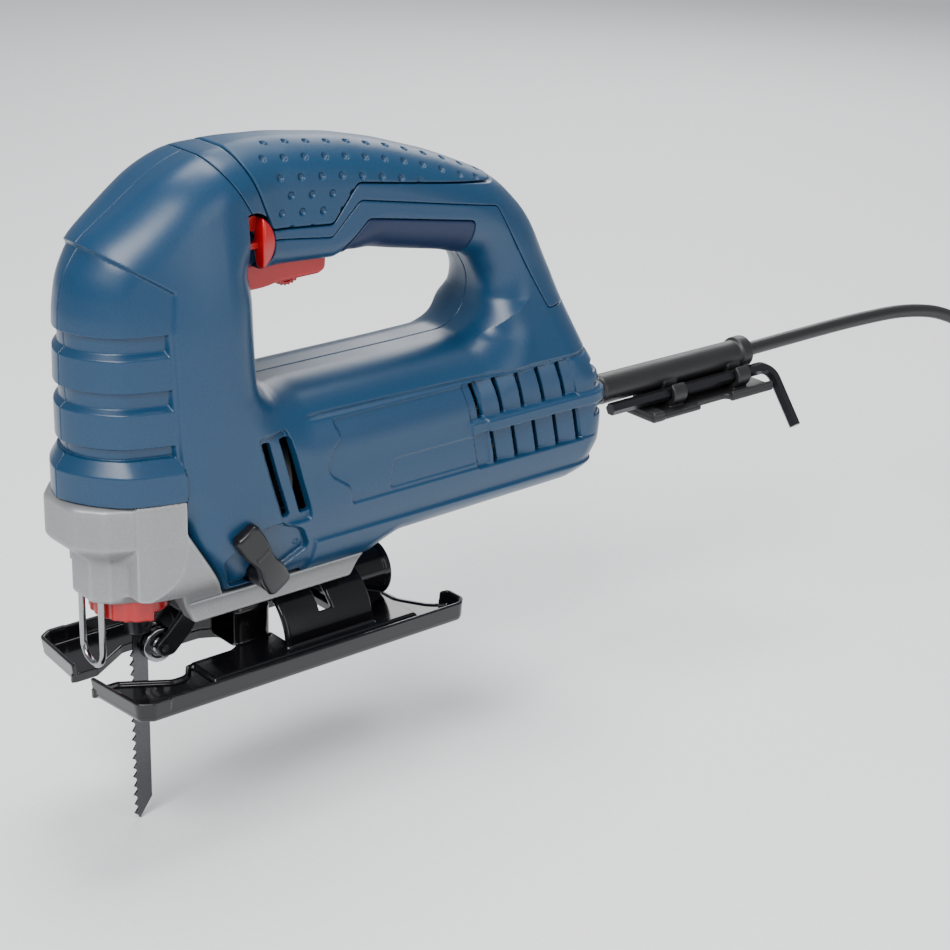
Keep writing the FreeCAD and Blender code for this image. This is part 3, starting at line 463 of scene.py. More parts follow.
def slots(x, y, z):
    """Cooling slots through both sides: two leaning rows at the rear and a pair in front."""
    sheared = x - VENT_LEAN * (80 - z)
    out = 1e3
    for first, low, high in VENT_ROWS:
        k = np.clip(np.rint((sheared - first) / VENT_PITCH), 0, 4)
        off = sheared - first - VENT_PITCH * k
        tall = np.abs(z - (low + high) / 2) - (high - low) / 2
        out = np.minimum(out, both(np.abs(off) - VENT_HALF, tall, 0.4))
    for at, wide in FRONT_VENTS:
        off = x - at - FRONT_LEAN * (94 - z)
        out = np.minimum(out, both(np.abs(off) - wide / 2, np.abs(z - 79) - 15.5, 0.8))
    return np.maximum(out, 16 - np.abs(y))


def housing_form(x, y, z):
    """The body with its ribbed front, panels, ledges and slots, negative inside."""
    f = body_form(x, y, z)
    ay = np.abs(y)
    front = KINK(x, z)
    behind = step(front, -0.7, 0.5)
    f = f + FRONT_STEP * (1 - behind)
    ring_zone = 1 - step(front, -2.0, -0.9)
    groove = 0
    for top, lip, foot in RINGS:
        deep = 2.1 * step(-z, -top - 0.25, -top + 0.35)
        lip_fall = np.clip((z - foot) / (lip - foot), 0, 1)
        groove = groove + deep * np.where(z > lip, 1.0 + 0.25 * (top - z) / (top - lip), 1.25 * lip_fall)
    f = f + groove * ring_zone
    flange = body_form(x, y, z) - 1.1 + np.clip(z - 90.6, 0, 9) * 0.75
    flange = np.maximum(np.maximum(flange, front - 0.2), z - 96)
    f = np.where(z < 96, np.minimum(f, flange), f)
    line = np.exp(-((z - 98.5 + 0.012 * (x - 61)) / 0.8)**2) * step(x, 52, 64) * (1 - step(x, 198, 204))
    f = f + 1.0 * line * (ay > 15)
    on_side = (ay > SIDE_FROM)
    f = f + on_side * PANEL_DEPTH * (1 - step(PANEL(x, z), -0.5, 0.4))
    f = f + on_side * 0.45 * (1 - step(LABEL(x, z), -0.35, 0.3))
    f = f + on_side * 1.8 * (1 - step(VENT_BAY(x, z), -0.6, 0.5))
    f = f - on_side * LEDGE_RISE * (1 - step(LEDGE(x, z), -0.9, 0.5)) * (x > 50)
    lean = x - VENT_LEAN * (80 - z)
    bar = np.maximum(np.abs(z - 78.7) - 2.7, np.maximum(133.5 - lean, x - 215))
    f = f - on_side * 1.6 * (1 - step(bar, -0.9, 0.5))
    bay = np.maximum(np.maximum(134.5 - lean, lean - 190), np.maximum(z - 96.6, 61.2 - z))
    f = f + on_side * 0.8 * (1 - step(bay, -0.4, 0.4)) * step(bar, -0.4, 0.6)
    for low, high in ((88.5, 92.0), (82.4, 84.6), (70.5, 73.5)):
        notch = np.maximum(np.maximum(199.5 - x, low - z), z - high)
        f = f + on_side * 1.4 * (1 - step(notch, -0.4, 0.4))
    for first, low, high in VENT_ROWS:
        along = (lean - first) / VENT_PITCH
        within = (along > 0) * (along < 5)
        face = (along - np.floor(along)) * within
        row = (1 - step(np.abs(z - (low + high) / 2) - (high - low) / 2, -0.5, 0.4)) * within
        f = f + on_side * row * LOUVRE_DEPTH * (1 - face)**1.2
    f = both(f, -slots(x, y, z), 0.35)
    dial = np.where(y < 0, DIAL(x, z), 50)
    f = f + DIAL_DEPTH * (1 - step(dial, -0.8, 0.6)) * on_side
    for turn in DIAL_DOTS:
        bx = LEVER[0] + DOT_REACH * math.cos(math.radians(turn))
        bz = LEVER[1] + DOT_REACH * math.sin(math.radians(turn))
        dot = np.hypot(np.hypot(x - bx, z - bz), np.maximum(0, -27.6 - y)) - 1.5
        f = np.where(y < -18, np.minimum(f, dot), f)
    return f


def button_seat(x, y, z):
    """The recess for the lock-on button, in the left side only."""
    disc = np.hypot(x - BUTTON[0] + 3.6, z - BUTTON[1]) - BUTTON_R - 0.6
    return np.maximum(np.maximum(disc, BUTTON[0] - 5.8 - x), y + 12.5)


def trigger_slot(x, y, z):
    """The pocket that the trigger moves up into."""
    return np.minimum(box_at(x, y, z, (40.4, -7.2, 120), (82.4, 7.2, 173)),
                      box_at(x, y, z, (40.4, -11.7, 120), (81.2, 11.7, 162.0)))


SCREWS = [(-15, 158), (22, 176), (34.6, 121), (132, 163), (173, 124), (199.5, 52), (112, 103.2), (62, 40)]
COVER_SCREW = (132, 163)
SCREW_WELL = 4.3
WALL = 4.6
SEAM = 0.12                # half the gap between neighbouring mouldings
ROD_BORE, ROD_BORE_TOP = 9.4, 68.0


def shell(x, y, z, left):
    """One half of the housing: hollow round the motor, and parted from the cover and the gear housing."""
    f = housing_form(x, y, z)
    hollow = body_form(x, y, z) + WALL
    hollow = np.maximum(hollow, box_at(x, y, z, (28, -40, 45), (196, 40, 104), 6))
    f = less(f, hollow)
    f = less(f, SEAM_COVER(x, z) - SEAM, 0.5)
    f = less(f, SEAM_FINGER(x, z) - SEAM, 0.5)
    f = both(f, 79.3 - np.where(x < 4.0, z, 200), 0.5)
    f = both(f, y + 0.06 if left else 0.06 - y, 0.35)
    f = less(f, trigger_slot(x, y, z), 0.4)
    f = less(f, np.maximum(np.hypot(x, y) - ROD_BORE, z - ROD_BORE_TOP))
    f = less(f, rod_at(y, z, x, (0, CORD_Z), 6.35, 190, 230))
    if left:
        f = less(f, button_seat(x, y, z), 0.6)
        f = less(f, rod_at(x, z, y, STEM, 3.3, -20, -5.5))
        f = less(f, rod_at(x, z, y, LEVER, 6.6, -60, -16))
    else:
        for sx, sz in SCREWS:
            f = less(f, rod_at(x, z, y, (sx, sz), SCREW_WELL, 12.9, 60), 0.6)
    return f


def cover_form(x, y, z):
    """The handle's upper cover, with a floor sunk for the soft grip."""
    f = body_form(x, y, z)
    f = both(f, SEAM_COVER(x, z) + SEAM, 0.5)
    f = less(f, SEAM_GRIP(x, z) - 0.15, 0.5)
    f = less(f, SEAM_FINGER(x, z) - SEAM, 0.4)
    f = less(f, trigger_slot(x, y, z), 0.4)
    f = less(f, button_seat(x, y, z), 0.5)
    f = less(f, rod_at(x, z, y, STEM, 3.3, -20, -5.5))
    return less(f, rod_at(x, z, y, COVER_SCREW, SCREW_WELL, 12.9, 60), 0.5)


DIMPLE_ROWS = ((52.6, 66, 13), (47.8, 46, 13), (53.0, 26, 8), (57.4, 8, 4), (53.2, -10, 4), (57.6, -26, 3))
DIMPLE_PITCH = 9.2
DIMPLE_R = 1.55
GRIP_THICK = 3.4


def grip_form():
    """The soft grip laid into the cover, a little proud, with rows of dimples down both sides."""
    spots = []
    for side in (-1, 1):
        for first, angle, count in DIMPLE_ROWS:
            for k in range(count):
                spots.append(spot_at(first + DIMPLE_PITCH * k, angle, side))

    def form(x, y, z):
        f = body_form(x, y, z) - 0.25
        f = both(f, SEAM_GRIP(x, z) + 0.35, 1.1)
        f = less(f, body_form(x, y, z) + GRIP_THICK)
        for px, py, pz in spots:
            near = (np.abs(x - px) < 4) & (np.abs(y - py) < 4) & (np.abs(z - pz) < 4)
            if near.any():
                ball = np.sqrt((x - px)**2 + (y - py)**2 + (z - pz)**2) - DIMPLE_R
                f = np.where(near, both(f, -ball, 0.2), f)
        return f
    return form


DIMPLE_LIFT = 0.55         # of a dimple's cutting ball
AXIS = curve([(20, 178.5), (42, 179.5), (62, 178), (90, 174.5), (118, 168.5), (143, 160)])


def spot_at(x, angle, side):
    """A point just outside the handle's surface, at that angle above level, seen along the handle."""
    cz = float(AXIS(np.array([float(x)]))[0])
    reach = np.linspace(5, 40, 351)
    dy, dz = side * math.cos(math.radians(angle)), math.sin(math.radians(angle))
    values = body_form(np.full(351, float(x)), reach * dy, cz + reach * dz)
    r = float(reach[np.flatnonzero(values > 0)[0]]) + DIMPLE_LIFT
    return x, r * dy, cz + r * dz


def finger_form(x, y, z):
    """The dark grip under the handle."""
    f = body_form(x, y, z) - 0.2
    return both(f, SEAM_FINGER(x, z) + 0.2, 0.8)


def housing(blue, soft, navy):
    carve("housing_shell_left", lambda x, y, z: shell(x, y, z, True), (-34, -37, 33), (211, 0.5, 201), 0.62,
          "housing", blue, "blue_shell", ("housing_left",), most=95000)
    carve("housing_shell_right", lambda x, y, z: shell(x, y, z, False), (-34, -0.5, 33), (211, 37, 201), 0.62,
          "housing", blue, "blue_shell", ("housing_right",), most=95000)
    carve("handle_top_cover", cover_form, (20, -34, 112), (204, 34, 202), 0.6,
          "housing", blue, "blue_shell", ("handle_cover",), most=70000)
    carve("handle_soft_grip", grip_form(), (32, -24, 164), (170, 24, 202), 0.42,
          "housing", soft, "blue_grip", ("soft_grip",), most=90000)
    carve("handle_finger_grip", finger_form, (80, -24, 136), (152, 24, 170), 0.5,
          "housing", navy, "dark_grip", ("finger_grip",), most=40000)


# ------------------------------------------------------------------ gear housing
NOSE = Outline([(-32.3, -30, 0), (-32.3, 9.6, 8), (-24, 19.4, 9), (-10, 26.4, 20), (5.2, 30.5, 0),
                (30, 31, 0), (30, -30, 0)], pitch=0.7)
FLANK = Outline([(-14, 79, 0), (4.0, 79, 0), (4.0, 66.2, 1), (24.6, 34.0, 1.5), (91.3, 34.0, 1),
                 (84.8, 24.6, 1.5), (12.6, 24.6, 1.5), (5.6, 38.5, 1), (-14, 42.0, 0)], pitch=0.7)
HALF_FLANK = curve([(20, 20.4), (33, 20.6), (36, 22.2), (41, 26.0), (62, 30.3), (82, 30.4)])


def gear_form(x, y, z):
    """The cast nose, its lower lip, and the flank that runs back as a strip over the saddle."""
    ay = np.abs(y)
    shrink = 8.9 * (1 - step(z, 53.5, 63.5)) + 0.35 * step(z, 77.6, 78.8)
    plan = NOSE(x, ay) + shrink
    nose = both(plan, np.maximum(z - 79, 37.2 - z), 2.6)
    nose = both(nose, x + 4.4 - 8.3 * step(z, 50.5, 52.5), 1.6)
    flank = both(FLANK(x, z), ay - HALF_FLANK(z), 0.9)
    flank = flank + 0.5 * np.exp(-((z - 33.8) / 0.5)**2) * (x > 10)
    flank = np.maximum(flank, np.where(x < 8, NOSE(x, ay) - 0.02, -8.0 - x))
    f = either(nose, flank, 0.3 + 3.7 * (1 - step(z, 56, 64)))
    hollow = both(NOSE(x, ay) + 11.6, np.maximum(z - 60, x - 3.8), 1.0)
    hollow = np.minimum(hollow, np.maximum(np.hypot(x, y) - ROD_BORE, z - ROD_BORE_TOP))
    f = less(f, hollow, 0.8)
    f = less(f, box_at(x, y, z, (2, -12.5, 10), (33.5, 12.5, 60)), 0.5)
    f = less(f, np.hypot(y, z - 2.5) - 24.4, 0.5)
    return less(f, rod_at(x, z, y, PIVOT, PIVOT_R, -18, 18))


# ------------------------------------------------------------------ foot
SHEET = Outline([(-25.2, -9, 0), (-25.2, 4, 0), (-22.4, 35.0, 4), (-17, 38.5, 3), (127, 38.5, 4),
                 (131, 34.5, 4), (131, 25.2, 1.5), (124, 21.5, 9), (117, 10, 10), (116, -9, 0)], pitch=0.6)
GAP = Outline([(-40, 6.4, 0), (-14, 6.8, 1), (3.4, 17.5, 3), (9, 17.5, 4), (13.6, 11.0, 2), (34, 11.0, 3),
               (40, 8.0, 3), (43, 0, 4), (43, -9, 0), (-40, -9, 0)], pitch=0.6)
BEVEL_Z = 2.5              # the foot tilts about this line
SADDLE_R = 22.9
SADDLE_SLOT = math.radians(61)
PORT_Z = 14.5


def foot_form(x, y, z):
    """The pressed sole with its turned-up rim, raised middle and the saddle that it tilts on."""
    ay = np.abs(y)
    lean = 0.16 * np.clip(z - 2.5, 0, 6)
    flare = np.where(x < -10, lean, lean * 0.4)
    edge = SHEET(x, ay) - flare + 0.5
    blank = both(edge, np.maximum(z - 8.0, -z), 0.7)
    blank = both(blank, np.maximum(edge + 0.9 - 0.9 * np.clip(z / 2.0, 0, 1), -1.0), 0.6)
    dish = both(edge + 1.9, 2.0 - z, 1.2)
    f = less(blank, dish, 0.5)
    rear_open = box_at(x, y, z, (108, -24.6, 2.5), (140, 24.6, 20))
    f = less(f, rear_open, 0.6)
    raised = both(np.maximum(np.abs(x - 64) - 48, ay - 27.5), z - 3.7, 1.0)
    raised = np.maximum(raised, 0.2 - z)
    f = either(f, raised, 1.2)
    ridge = both(np.maximum(np.abs(x - 58) - 38, np.abs(ay - 33.5) - 1.6), z - 4.0, 1.3)
    f = either(f, np.maximum(ridge, 0.2 - z), 1.0)
    lip = both(GAP(x, ay) - 1.8, z - 3.4, 0.9)
    f = either(f, np.maximum(np.maximum(lip, 0.1 - z), SHEET(x, ay)), 0.8)
    f = less(f, GAP(x, ay), 0.5)
    radius = np.hypot(y, z - BEVEL_Z)
    wide = np.maximum(52 - x, x - 93)
    hump = both(np.abs(radius - SADDLE_R) - 1.15, wide, 0.5)
    bead = np.hypot(radius - 23.2, x - 52.9) - 1.25
    hump = np.maximum(np.minimum(hump, bead), 1.0 - z)
    f = either(f, hump, 1.6)
    window = np.maximum(np.maximum(np.abs(x - 72.5) - 16.5, ay - 17), z - 12)
    f = less(f, window, 0.8)
    duct = box_at(x, y, z, (36.5, -9.5, 1.5), (55, 9.5, 20.5), 4.0)
    f = less(either(f, duct, 1.5), box_at(x, y, z, (30, -8.0, 3.0), (60, 8.0, 19.0), 2.5), 0.4)
    turned = np.arctan2(np.abs(y), z - BEVEL_Z)
    slot = np.maximum(np.abs(x - 72) - 3.0, (turned - SADDLE_SLOT) * 22)
    f = less(f, np.maximum(slot, 15 - radius), 0.5)
    return f


def port_form(x, y, z):
    """The dust port behind the saddle: a round spout on a web."""
    ay = np.abs(y)
    tube = np.hypot(y, z - PORT_Z) - 11.0 - 0.5 * step(x, 108.6, 109.4)
    tube = both(tube, np.maximum(92 - x, x - 112), 0.5)
    web = both(np.hypot(y, z - BEVEL_Z) - 21.6, np.maximum(np.abs(x - 92) - 1.1, 2.6 - z), 0.3)
    taper = np.abs(z - 9) - 6.2 + 0.4 * (x - 92)
    ribs = both(np.abs(ay - 13.5) - 0.9, np.maximum(np.maximum(92 - x, x - 104), taper), 0.3)
    f = either(np.minimum(tube, ribs), web, 0.8)
    return less(f, np.hypot(y, z - PORT_Z) - 9.2, 0.4)


# ------------------------------------------------------------------ boot, tray and key
KEY_Y, KEY_Z = -8.6, 58.5
CORD_Z = 65.0


def boot_form(x, y, z):
    """The cord's sleeve, with the tray below it that holds the hex key in two snap clips."""
    r = np.hypot(y, z - CORD_Z)
    sleeve = both(r - 6.75 + 0.0055 * (x - 204), np.maximum(204.6 - x, x - 317), 1.2)
    collar = both(r - 7.4, np.maximum(315.2 - x, x - 322), 1.3)
    f = either(sleeve, collar, 0.8)
    rings = 0.35 * np.maximum(0, np.cos((x - 211) * 2 * math.pi / 5.0)) * (x < 234)
    f = f + rings * (r > 5)
    shelf = box_at(x, y, z, (251, -16.6, 50.2), (326, 3.4, 52.8), 1.1)
    lips = np.minimum(box_at(x, y, z, (251, -16.6, 50.2), (258, 3.4, 54.6), 1.0),
                      box_at(x, y, z, (296, -16.6, 50.2), (326, -14.6, 54.4), 0.9))
    shelf = less(either(shelf, lips, 0.8), box_at(x, y, z, (280, -20, 48), (300, -12.8, 56), 2.5), 0.6)
    spine = box_at(x, y, z, (255, -1.8, 51), (317, 1.8, 61), 0.6)
    f = either(f, either(shelf, spine, 1.2), 1.2)
    key_r = np.hypot(y - KEY_Y, z - KEY_Z)
    for at in (266, 306):
        ring = both(key_r - 5.2, np.maximum(at - x, x - at - 8), 0.7)
        foot = box_at(x, y, z, (at, KEY_Y - 2.6, 51), (at + 8, KEY_Y + 2.6, KEY_Z), 0.6)
        f = either(f, either(ring, foot, 0.8), 0.8)
        mouth = box_at(x, y, z, (at - 1, KEY_Y - 2.0, KEY_Z), (at + 9, KEY_Y + 2.0, KEY_Z + 9))
        f = less(f, mouth, 0.5)
    f = less(f, np.maximum(key_r - 3.05, 200 - x), 0.3)
    return less(f, np.maximum(r - 3.3, 236 - x), 0.3)


# ------------------------------------------------------------------ controls
TRIGGER_SIDE = Outline([(41.6, 156, 2), (79.6, 155.4, 2), (79.2, 148.0, 3), (76.0, 146.6, 2),
                        (56.5, 146.2, 6), (48.5, 143.8, 8), (43.4, 140.6, 2), (41.4, 146, 2)],
                       pitch=0.4, margin=12)
WHEEL = (67.0, 150.0)


def trigger_form(x, y, z):
    """The rocker under the index finger, with the speed wheel's window."""
    f = both(TRIGGER_SIDE(x, z), np.abs(y) - 11.0, 1.6)
    f = either(f, box_at(x, y, z, (41.6, -6.5, 150), (78, 6.5, 166), 0.6), 0.6)
    scoop = np.hypot(z - 128.0, y * 0.62) - 18.9 + 0.02 * np.abs(x - 60)
    f = less(f, scoop, 1.0)
    f = less(f, rod_at(x, z, y, WHEEL, 9.0, -3.7, 3.7), 0.4)
    return less(f, rod_at(x, z, y, (44.5, 164.0), 1.6, -20, 20), 0.2)


def wheel_form(x, y, z):
    """The thumb wheel for the speed, its rim ribbed for grip."""
    r = np.hypot(x - WHEEL[0], z - WHEEL[1])
    turn = np.arctan2(z - WHEEL[1], x - WHEEL[0])
    rim = 8.2 - 0.55 * (0.5 - 0.5 * np.cos(turn * 30))
    f = both(r - rim, np.abs(y) - 3.2, 0.5)
    f = f + 0.6 * (1 - step(np.abs(r - 4.8) - 1.6, -0.4, 0.4)) * (np.abs(y) > 2)
    return less(f, r - 1.27, 0.2)


def button_form(x, y, z):
    """The lock-on button: a tall crescent pad on a stem, with its seat left open in front."""
    bx, bz = BUTTON
    front = bx + 0.6 + 0.012 * (z - bz)**2
    pad = both(np.hypot(x - bx + 4.5, z - bz) - BUTTON_R, front - x, 1.0)
    crown = 24.4 - 0.02 * (z - bz)**2 - 0.25 * np.clip(x - bx, 0, 8)
    f = both(pad, np.maximum(-y - crown, y + 17.0), 1.3)
    tab = box_at(x, y, z, (bx - 5.0, -20.0, bz - 2.0), (bx + 3.0, -17.2, bz + 0.5), 0.5)
    stem = rod_at(x, z, y, STEM, 2.9, -18, -10.3, 0.3)
    return np.minimum(np.minimum(f, tab), stem)


def lever_form(x, y, z):
    """The orbital lever: a hub and a waisted thumb arm."""
    lx, lz = LEVER
    turn = math.radians(123)
    along = (x - lx) * math.cos(turn) + (z - lz) * math.sin(turn)
    aside = -(x - lx) * math.sin(turn) + (z - lz) * math.cos(turn)
    half = 5.6 - 1.5 * np.exp(-((along - 9.5) / 5.0)**2)
    arm = both(np.abs(aside) - half, np.maximum(-along - 6.5, along - 25.8), 2.6)
    roof = 37.9 - 0.035 * np.maximum(0, 12 - along)**2 * 0.25 - 0.02 * aside**2
    arm = both(arm, np.maximum(-y - roof, y + 32.2), 1.5)
    hub = rod_at(x, z, y, LEVER, 6.1, -33.5, -25.2, 0.6)
    stem = rod_at(x, z, y, LEVER, 4.0, -26, -17.0, 0.3)
    f = either(arm, np.minimum(hub, stem), 0.8)
    ridge = both(np.abs(along - 13.5) - 1.0, np.maximum(np.abs(aside) - 3.2, -y - 38.0), 0.6)
    return np.minimum(f, np.maximum(ridge, y + 33))


def collar_form(x, y, z):
    """The blade release: a lobed ring with flutes, round the clamp."""
    r = np.hypot(x, y)
    turn = np.arctan2(y, x)
    wide = 12.0 + 6.0 * step(np.abs(turn), math.radians(96), math.radians(102))
    wide = wide - 0.5 * (0.5 - 0.5 * np.cos(turn * 24)) * (np.abs(turn) > math.radians(106))
    f = both(r - wide, np.abs(z - 34.6) - 5.4, 0.9)
    return less(f, r - 9.2, 0.5)


def clamp_form(x, y, z):
    """The blade clamp on the stroke rod's end, with its slot and its knurled sleeve."""
    r = np.hypot(x, y)
    turn = np.arctan2(y, x)
    f = both(r - 6.15, np.maximum(18 - z, z - 41.3), 0.8)
    sleeve = both(r - 7.6 + 0.25 * (0.5 - 0.5 * np.cos(turn * 36)), np.abs(z - 35) - 3.0, 0.5)
    tip = both(r - 6.2 + 0.22 * np.clip(24 - z, 0, 9), np.maximum(18 - z, z - 26), 0.5)
    f = np.minimum(np.where(z < 25, tip, f), sleeve)
    f = less(f, box_at(x, y, z, (-4.6, -0.9, 10), (4.2, 0.9, 30)), 0.25)
    cross = rod_at(x, z, y, (0, 22.5), 1.5, -10, 10)
    f = less(f, np.maximum(cross, 4.6 - np.abs(y)), 0.2)
    return less(f, np.maximum(r - 5.02, 30 - z), 0.1)


FORK_SIDE = Outline([(3.9, 11.6, 3.0), (6.4, 6.6, 3.0), (11.8, 6.6, 3.0), (19.2, 13.2, 4), (28.4, 27.2, 4),
                     (28.0, 34.6, 5), (20.6, 34.8, 5), (16.0, 22.6, 3), (9.2, 15.6, 3)], pitch=0.4, margin=12)
PIVOT = (24.0, 30.5)
PIVOT_R = 2.05
ROLLER = (7.6, 10.5)


def fork_form(x, y, z):
    """The arm that carries the guide roller, forked at its lower end."""
    ay = np.abs(y)
    cheeks = both(FORK_SIDE(x, z), np.abs(ay - 5.1) - 1.15, 0.5)
    bridge = both(FORK_SIDE(x, z) + 0.3, np.maximum(ay - 5.0, 17.0 - x - 0.35 * (z - 20)), 0.6)
    hub = rod_at(x, z, y, PIVOT, 4.6, -12.0, 12.0, 0.6)
    f = either(either(cheeks, bridge, 1.0), hub, 1.0)
    f = less(f, rod_at(x, z, y, ROLLER, 7.9, -3.9, 3.9), 0.3)
    f = less(f, rod_at(x, z, y, PIVOT, PIVOT_R, -30, 30), 0.2)
    return less(f, rod_at(x, z, y, ROLLER, 1.52, -30, 30), 0.2)


def roller_form(x, y, z):
    """The grooved guide roller behind the blade."""
    r = np.hypot(x - ROLLER[0], z - ROLLER[1])
    f = both(r - 7.0, np.abs(y) - 3.5, 0.7)
    f = less(f, np.maximum(3.7 - r, np.abs(y) - 0.95), 0.25)
    f = f + 0.5 * (1 - step(np.abs(r - 3.9) - 1.0, -0.3, 0.3)) * (np.abs(y) > 2.6)
    return less(f, r - 1.57, 0.15)


# ------------------------------------------------------------------ blade
TOOTH_PITCH = 4.0
BLADE_BACK = 3.7
GULLET = -2.6
TOOTH = -4.2
SHANK = 2.4
SET = 0.22                 # how far the teeth bend out, left and right in turn


def blade_outline():
    points = [(BLADE_BACK, 20.0, 0), (BLADE_BACK, FLOOR_Z + 8.0, 0), (-2.0, FLOOR_Z, 0)]
    z = FLOOR_Z + 1.5
    while z < 8.0:
        points += [(GULLET, z, 0), (TOOTH, z + 1.0, 0), (GULLET, z + 2.8, 0)]
        z += TOOTH_PITCH
    points += [(GULLET, 14.0, 0), (-SHANK, 29.5, 0), (SHANK, 29.5, 0), (SHANK, 20.0, 0)]
    return Outline(points, pitch=0.12, margin=4)


def blade_form():
    """The blade, its teeth set left and right in turn and ground thin at their tips."""
    side = blade_outline()

    def form(x, y, z):
        tooth = (z - FLOOR_Z - 2.5) / TOOTH_PITCH
        way = np.where(np.rint(tooth) % 2 < 1, 1.0, -1.0)
        bend = way * SET * np.clip((-2.2 - x) / 2.0, 0, 1) * (z < 9)
        grind = 0.16 * np.clip((-2.4 - x) / 1.6, 0, 1)
        return both(side(x, z), np.abs(y - bend) - 0.62 + grind + 0.1, 0.12)
    return form


# ------------------------------------------------------------------ cord
CORD = 6.4
ROUTE = [(322, 0, 65), (362, 0, 65.4), (402, 0.6, 65), (440, 2, 62.5), (474, 3, 54), (503, -2, 35),
         (522, -13, 8), (536, -25, -20), (552, -37, -45), (577, -48, -59.1), (604, -52.6, -59.1)]
COIL_AT = (625.0, 0.0)
COIL_OUT = 54.3            # the cord's centreline in the outermost ring
LANE = 6.8                 # from ring to ring and from layer to layer
ENTRY, EXIT = 262.0, 125.0    # degrees round the coil, turning left
TURNS = 7
KNOT = 20                  # degrees of coil from one control point to the next
FLOOR_LANE, TOP_LANE = -59.15, -52.35
INWARD = (268, 628, 988)       # degrees turned where the cord moves one ring in
OUTWARD = (1402, 1762, 2122)   # and one ring out again
CHANGE = 56.0              # degrees that a change of ring takes
CLIMB, CLIMB_TAKES = 1322, 62.0    # and the change of layer
TAIL = 40.0
PLUG_HALF = (14.0, 8.0)    # half its width and height
PIN_OFF = 9.5
PIN_R = 2.4
RIB_PITCH = 3.4


def coil_lane(turned):
    """Rings in from the outermost, and layers up, after turning that many degrees."""
    ring = sum(ramp01((turned - at) / CHANGE) for at in INWARD)
    ring -= sum(ramp01((turned - at) / CHANGE) for at in OUTWARD)
    rise = ramp01((turned - CLIMB) / CLIMB_TAKES)
    return ring, rise


def on_coil(radius, around, z):
    return Vector((COIL_AT[0] + radius * math.cos(around), COIL_AT[1] + radius * math.sin(around), z))


def cord_points():
    """The cord's control points, with its end at the plug and the way it points there."""
    points = [Vector(p) for p in ROUTE]
    total = 360 * (TURNS + 1) - (ENTRY - EXIT)
    steps = int(total // KNOT)
    for k in range(1, steps + 1):
        turned = total * k / steps
        ring, rise = coil_lane(turned)
        # the curve runs inside its control points, so they stand further out
        radius = (COIL_OUT - LANE * ring) / math.cos(math.radians(total / steps / 2))
        height = FLOOR_LANE + (TOP_LANE - FLOOR_LANE) * rise
        points.append(on_coil(radius, math.radians(ENTRY + turned), height))
    leave = math.radians(EXIT)
    heading = Vector((-math.sin(leave), math.cos(leave), 0))
    start = on_coil(COIL_OUT, leave, TOP_LANE)
    end = start + heading * TAIL
    end.z = FLOOR_Z + PLUG_HALF[1]
    points.append(start.lerp(end, 0.35) + Vector((0, 0, 0.4)))
    points.append(start.lerp(end, 0.75))
    points.append(end + heading * 3)
    return points, end, heading


def cord_line(points, mat):
    data = bpy.data.curves.new("MainsCord", "CURVE")
    data.dimensions = "3D"
    data.bevel_depth = CORD / 2 * MM
    data.bevel_resolution = 6
    data.resolution_u = 8
    data.use_fill_caps = True
    line = data.splines.new("NURBS")
    line.points.add(len(points) - 1)
    for knot, p in zip(line.points, points):
        knot.co = (*(p * MM), 1)
    line.order_u = 3
    line.use_endpoint_u = True
    piece = bpy.data.objects.new("mains_cord_line", data)
    bpy.context.scene.collection.objects.link(piece)
    data.materials.append(mat)
    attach(piece, "housing")
    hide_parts("mains_cord", "cord_coil")
    return piece


def plug_pieces(end, heading, body_mat, pin_mat):
    """The two-pin plug: a waisted body with a ringed sleeve, and its pins."""
    turn = math.atan2(heading.y, heading.x)
    wide, tall = PLUG_HALF

    def local(x, y):
        dx, dy = x - end.x, y - end.y
        return (dx * math.cos(turn) + dy * math.sin(turn), -dx * math.sin(turn) + dy * math.cos(turn))

    def plug_form(x, y, z):
        u, v = local(x, y)
        h = z - end.z
        body = box_at(u, v, h, (16, -wide, -tall), (52, wide, tall), 3.5)
        waist = 3.0 * np.exp(-((u - 30) / 7.0)**2)
        body = np.maximum(body, both(np.abs(v) - wide + waist, np.abs(h) - tall + 0.25 * waist, 4.0))
        ribs = 0.5 * np.maximum(0, np.cos((u - 30) * 2 * math.pi / RIB_PITCH)) * (np.abs(u - 30) < 8.5)
        body = body + ribs * (np.abs(v) > 8)
        r = np.hypot(v, h)
        sleeve = both(r - 6.0 + 0.09 * np.clip(16 - u, 0, 20), np.maximum(-u, u - 18), 0.8)
        place = (u - 2.0) / RIB_PITCH
        rings = (np.abs(place - np.rint(place)) < 0.22) & (u < 13.5)
        sleeve = np.where(rings & (r > 4.4), np.maximum(sleeve, r - 4.5), sleeve)
        return less(either(body, sleeve, 1.5), np.maximum(r - CORD / 2, u - 6), 0.2)

    def pins_form(x, y, z):
        u, v = local(x, y)
        return both(np.hypot(np.abs(v) - PIN_OFF, z - end.z) - PIN_R, np.maximum(50 - u, u - 71), 0.9)

    reach = ((end.x - 74, end.y - 58, end.z - 8.2), (end.x + 6, end.y + 14, end.z + 8.2))
    plug = carve("mains_plug_body", plug_form, *reach, 0.5, "housing", body_mat, "cord_rubber",
                 ("mains_plug",), most=50000)
    pins = carve("mains_plug_pins", pins_form, *reach, 0.4, "housing", pin_mat, "bright_steel", most=12000)
    return [plug, pins]


def cord(mat, pin_mat):
    points, end, heading = cord_points()
    piece = cord_line(points, mat)
    ends = plug_pieces(end, heading, mat, pin_mat)


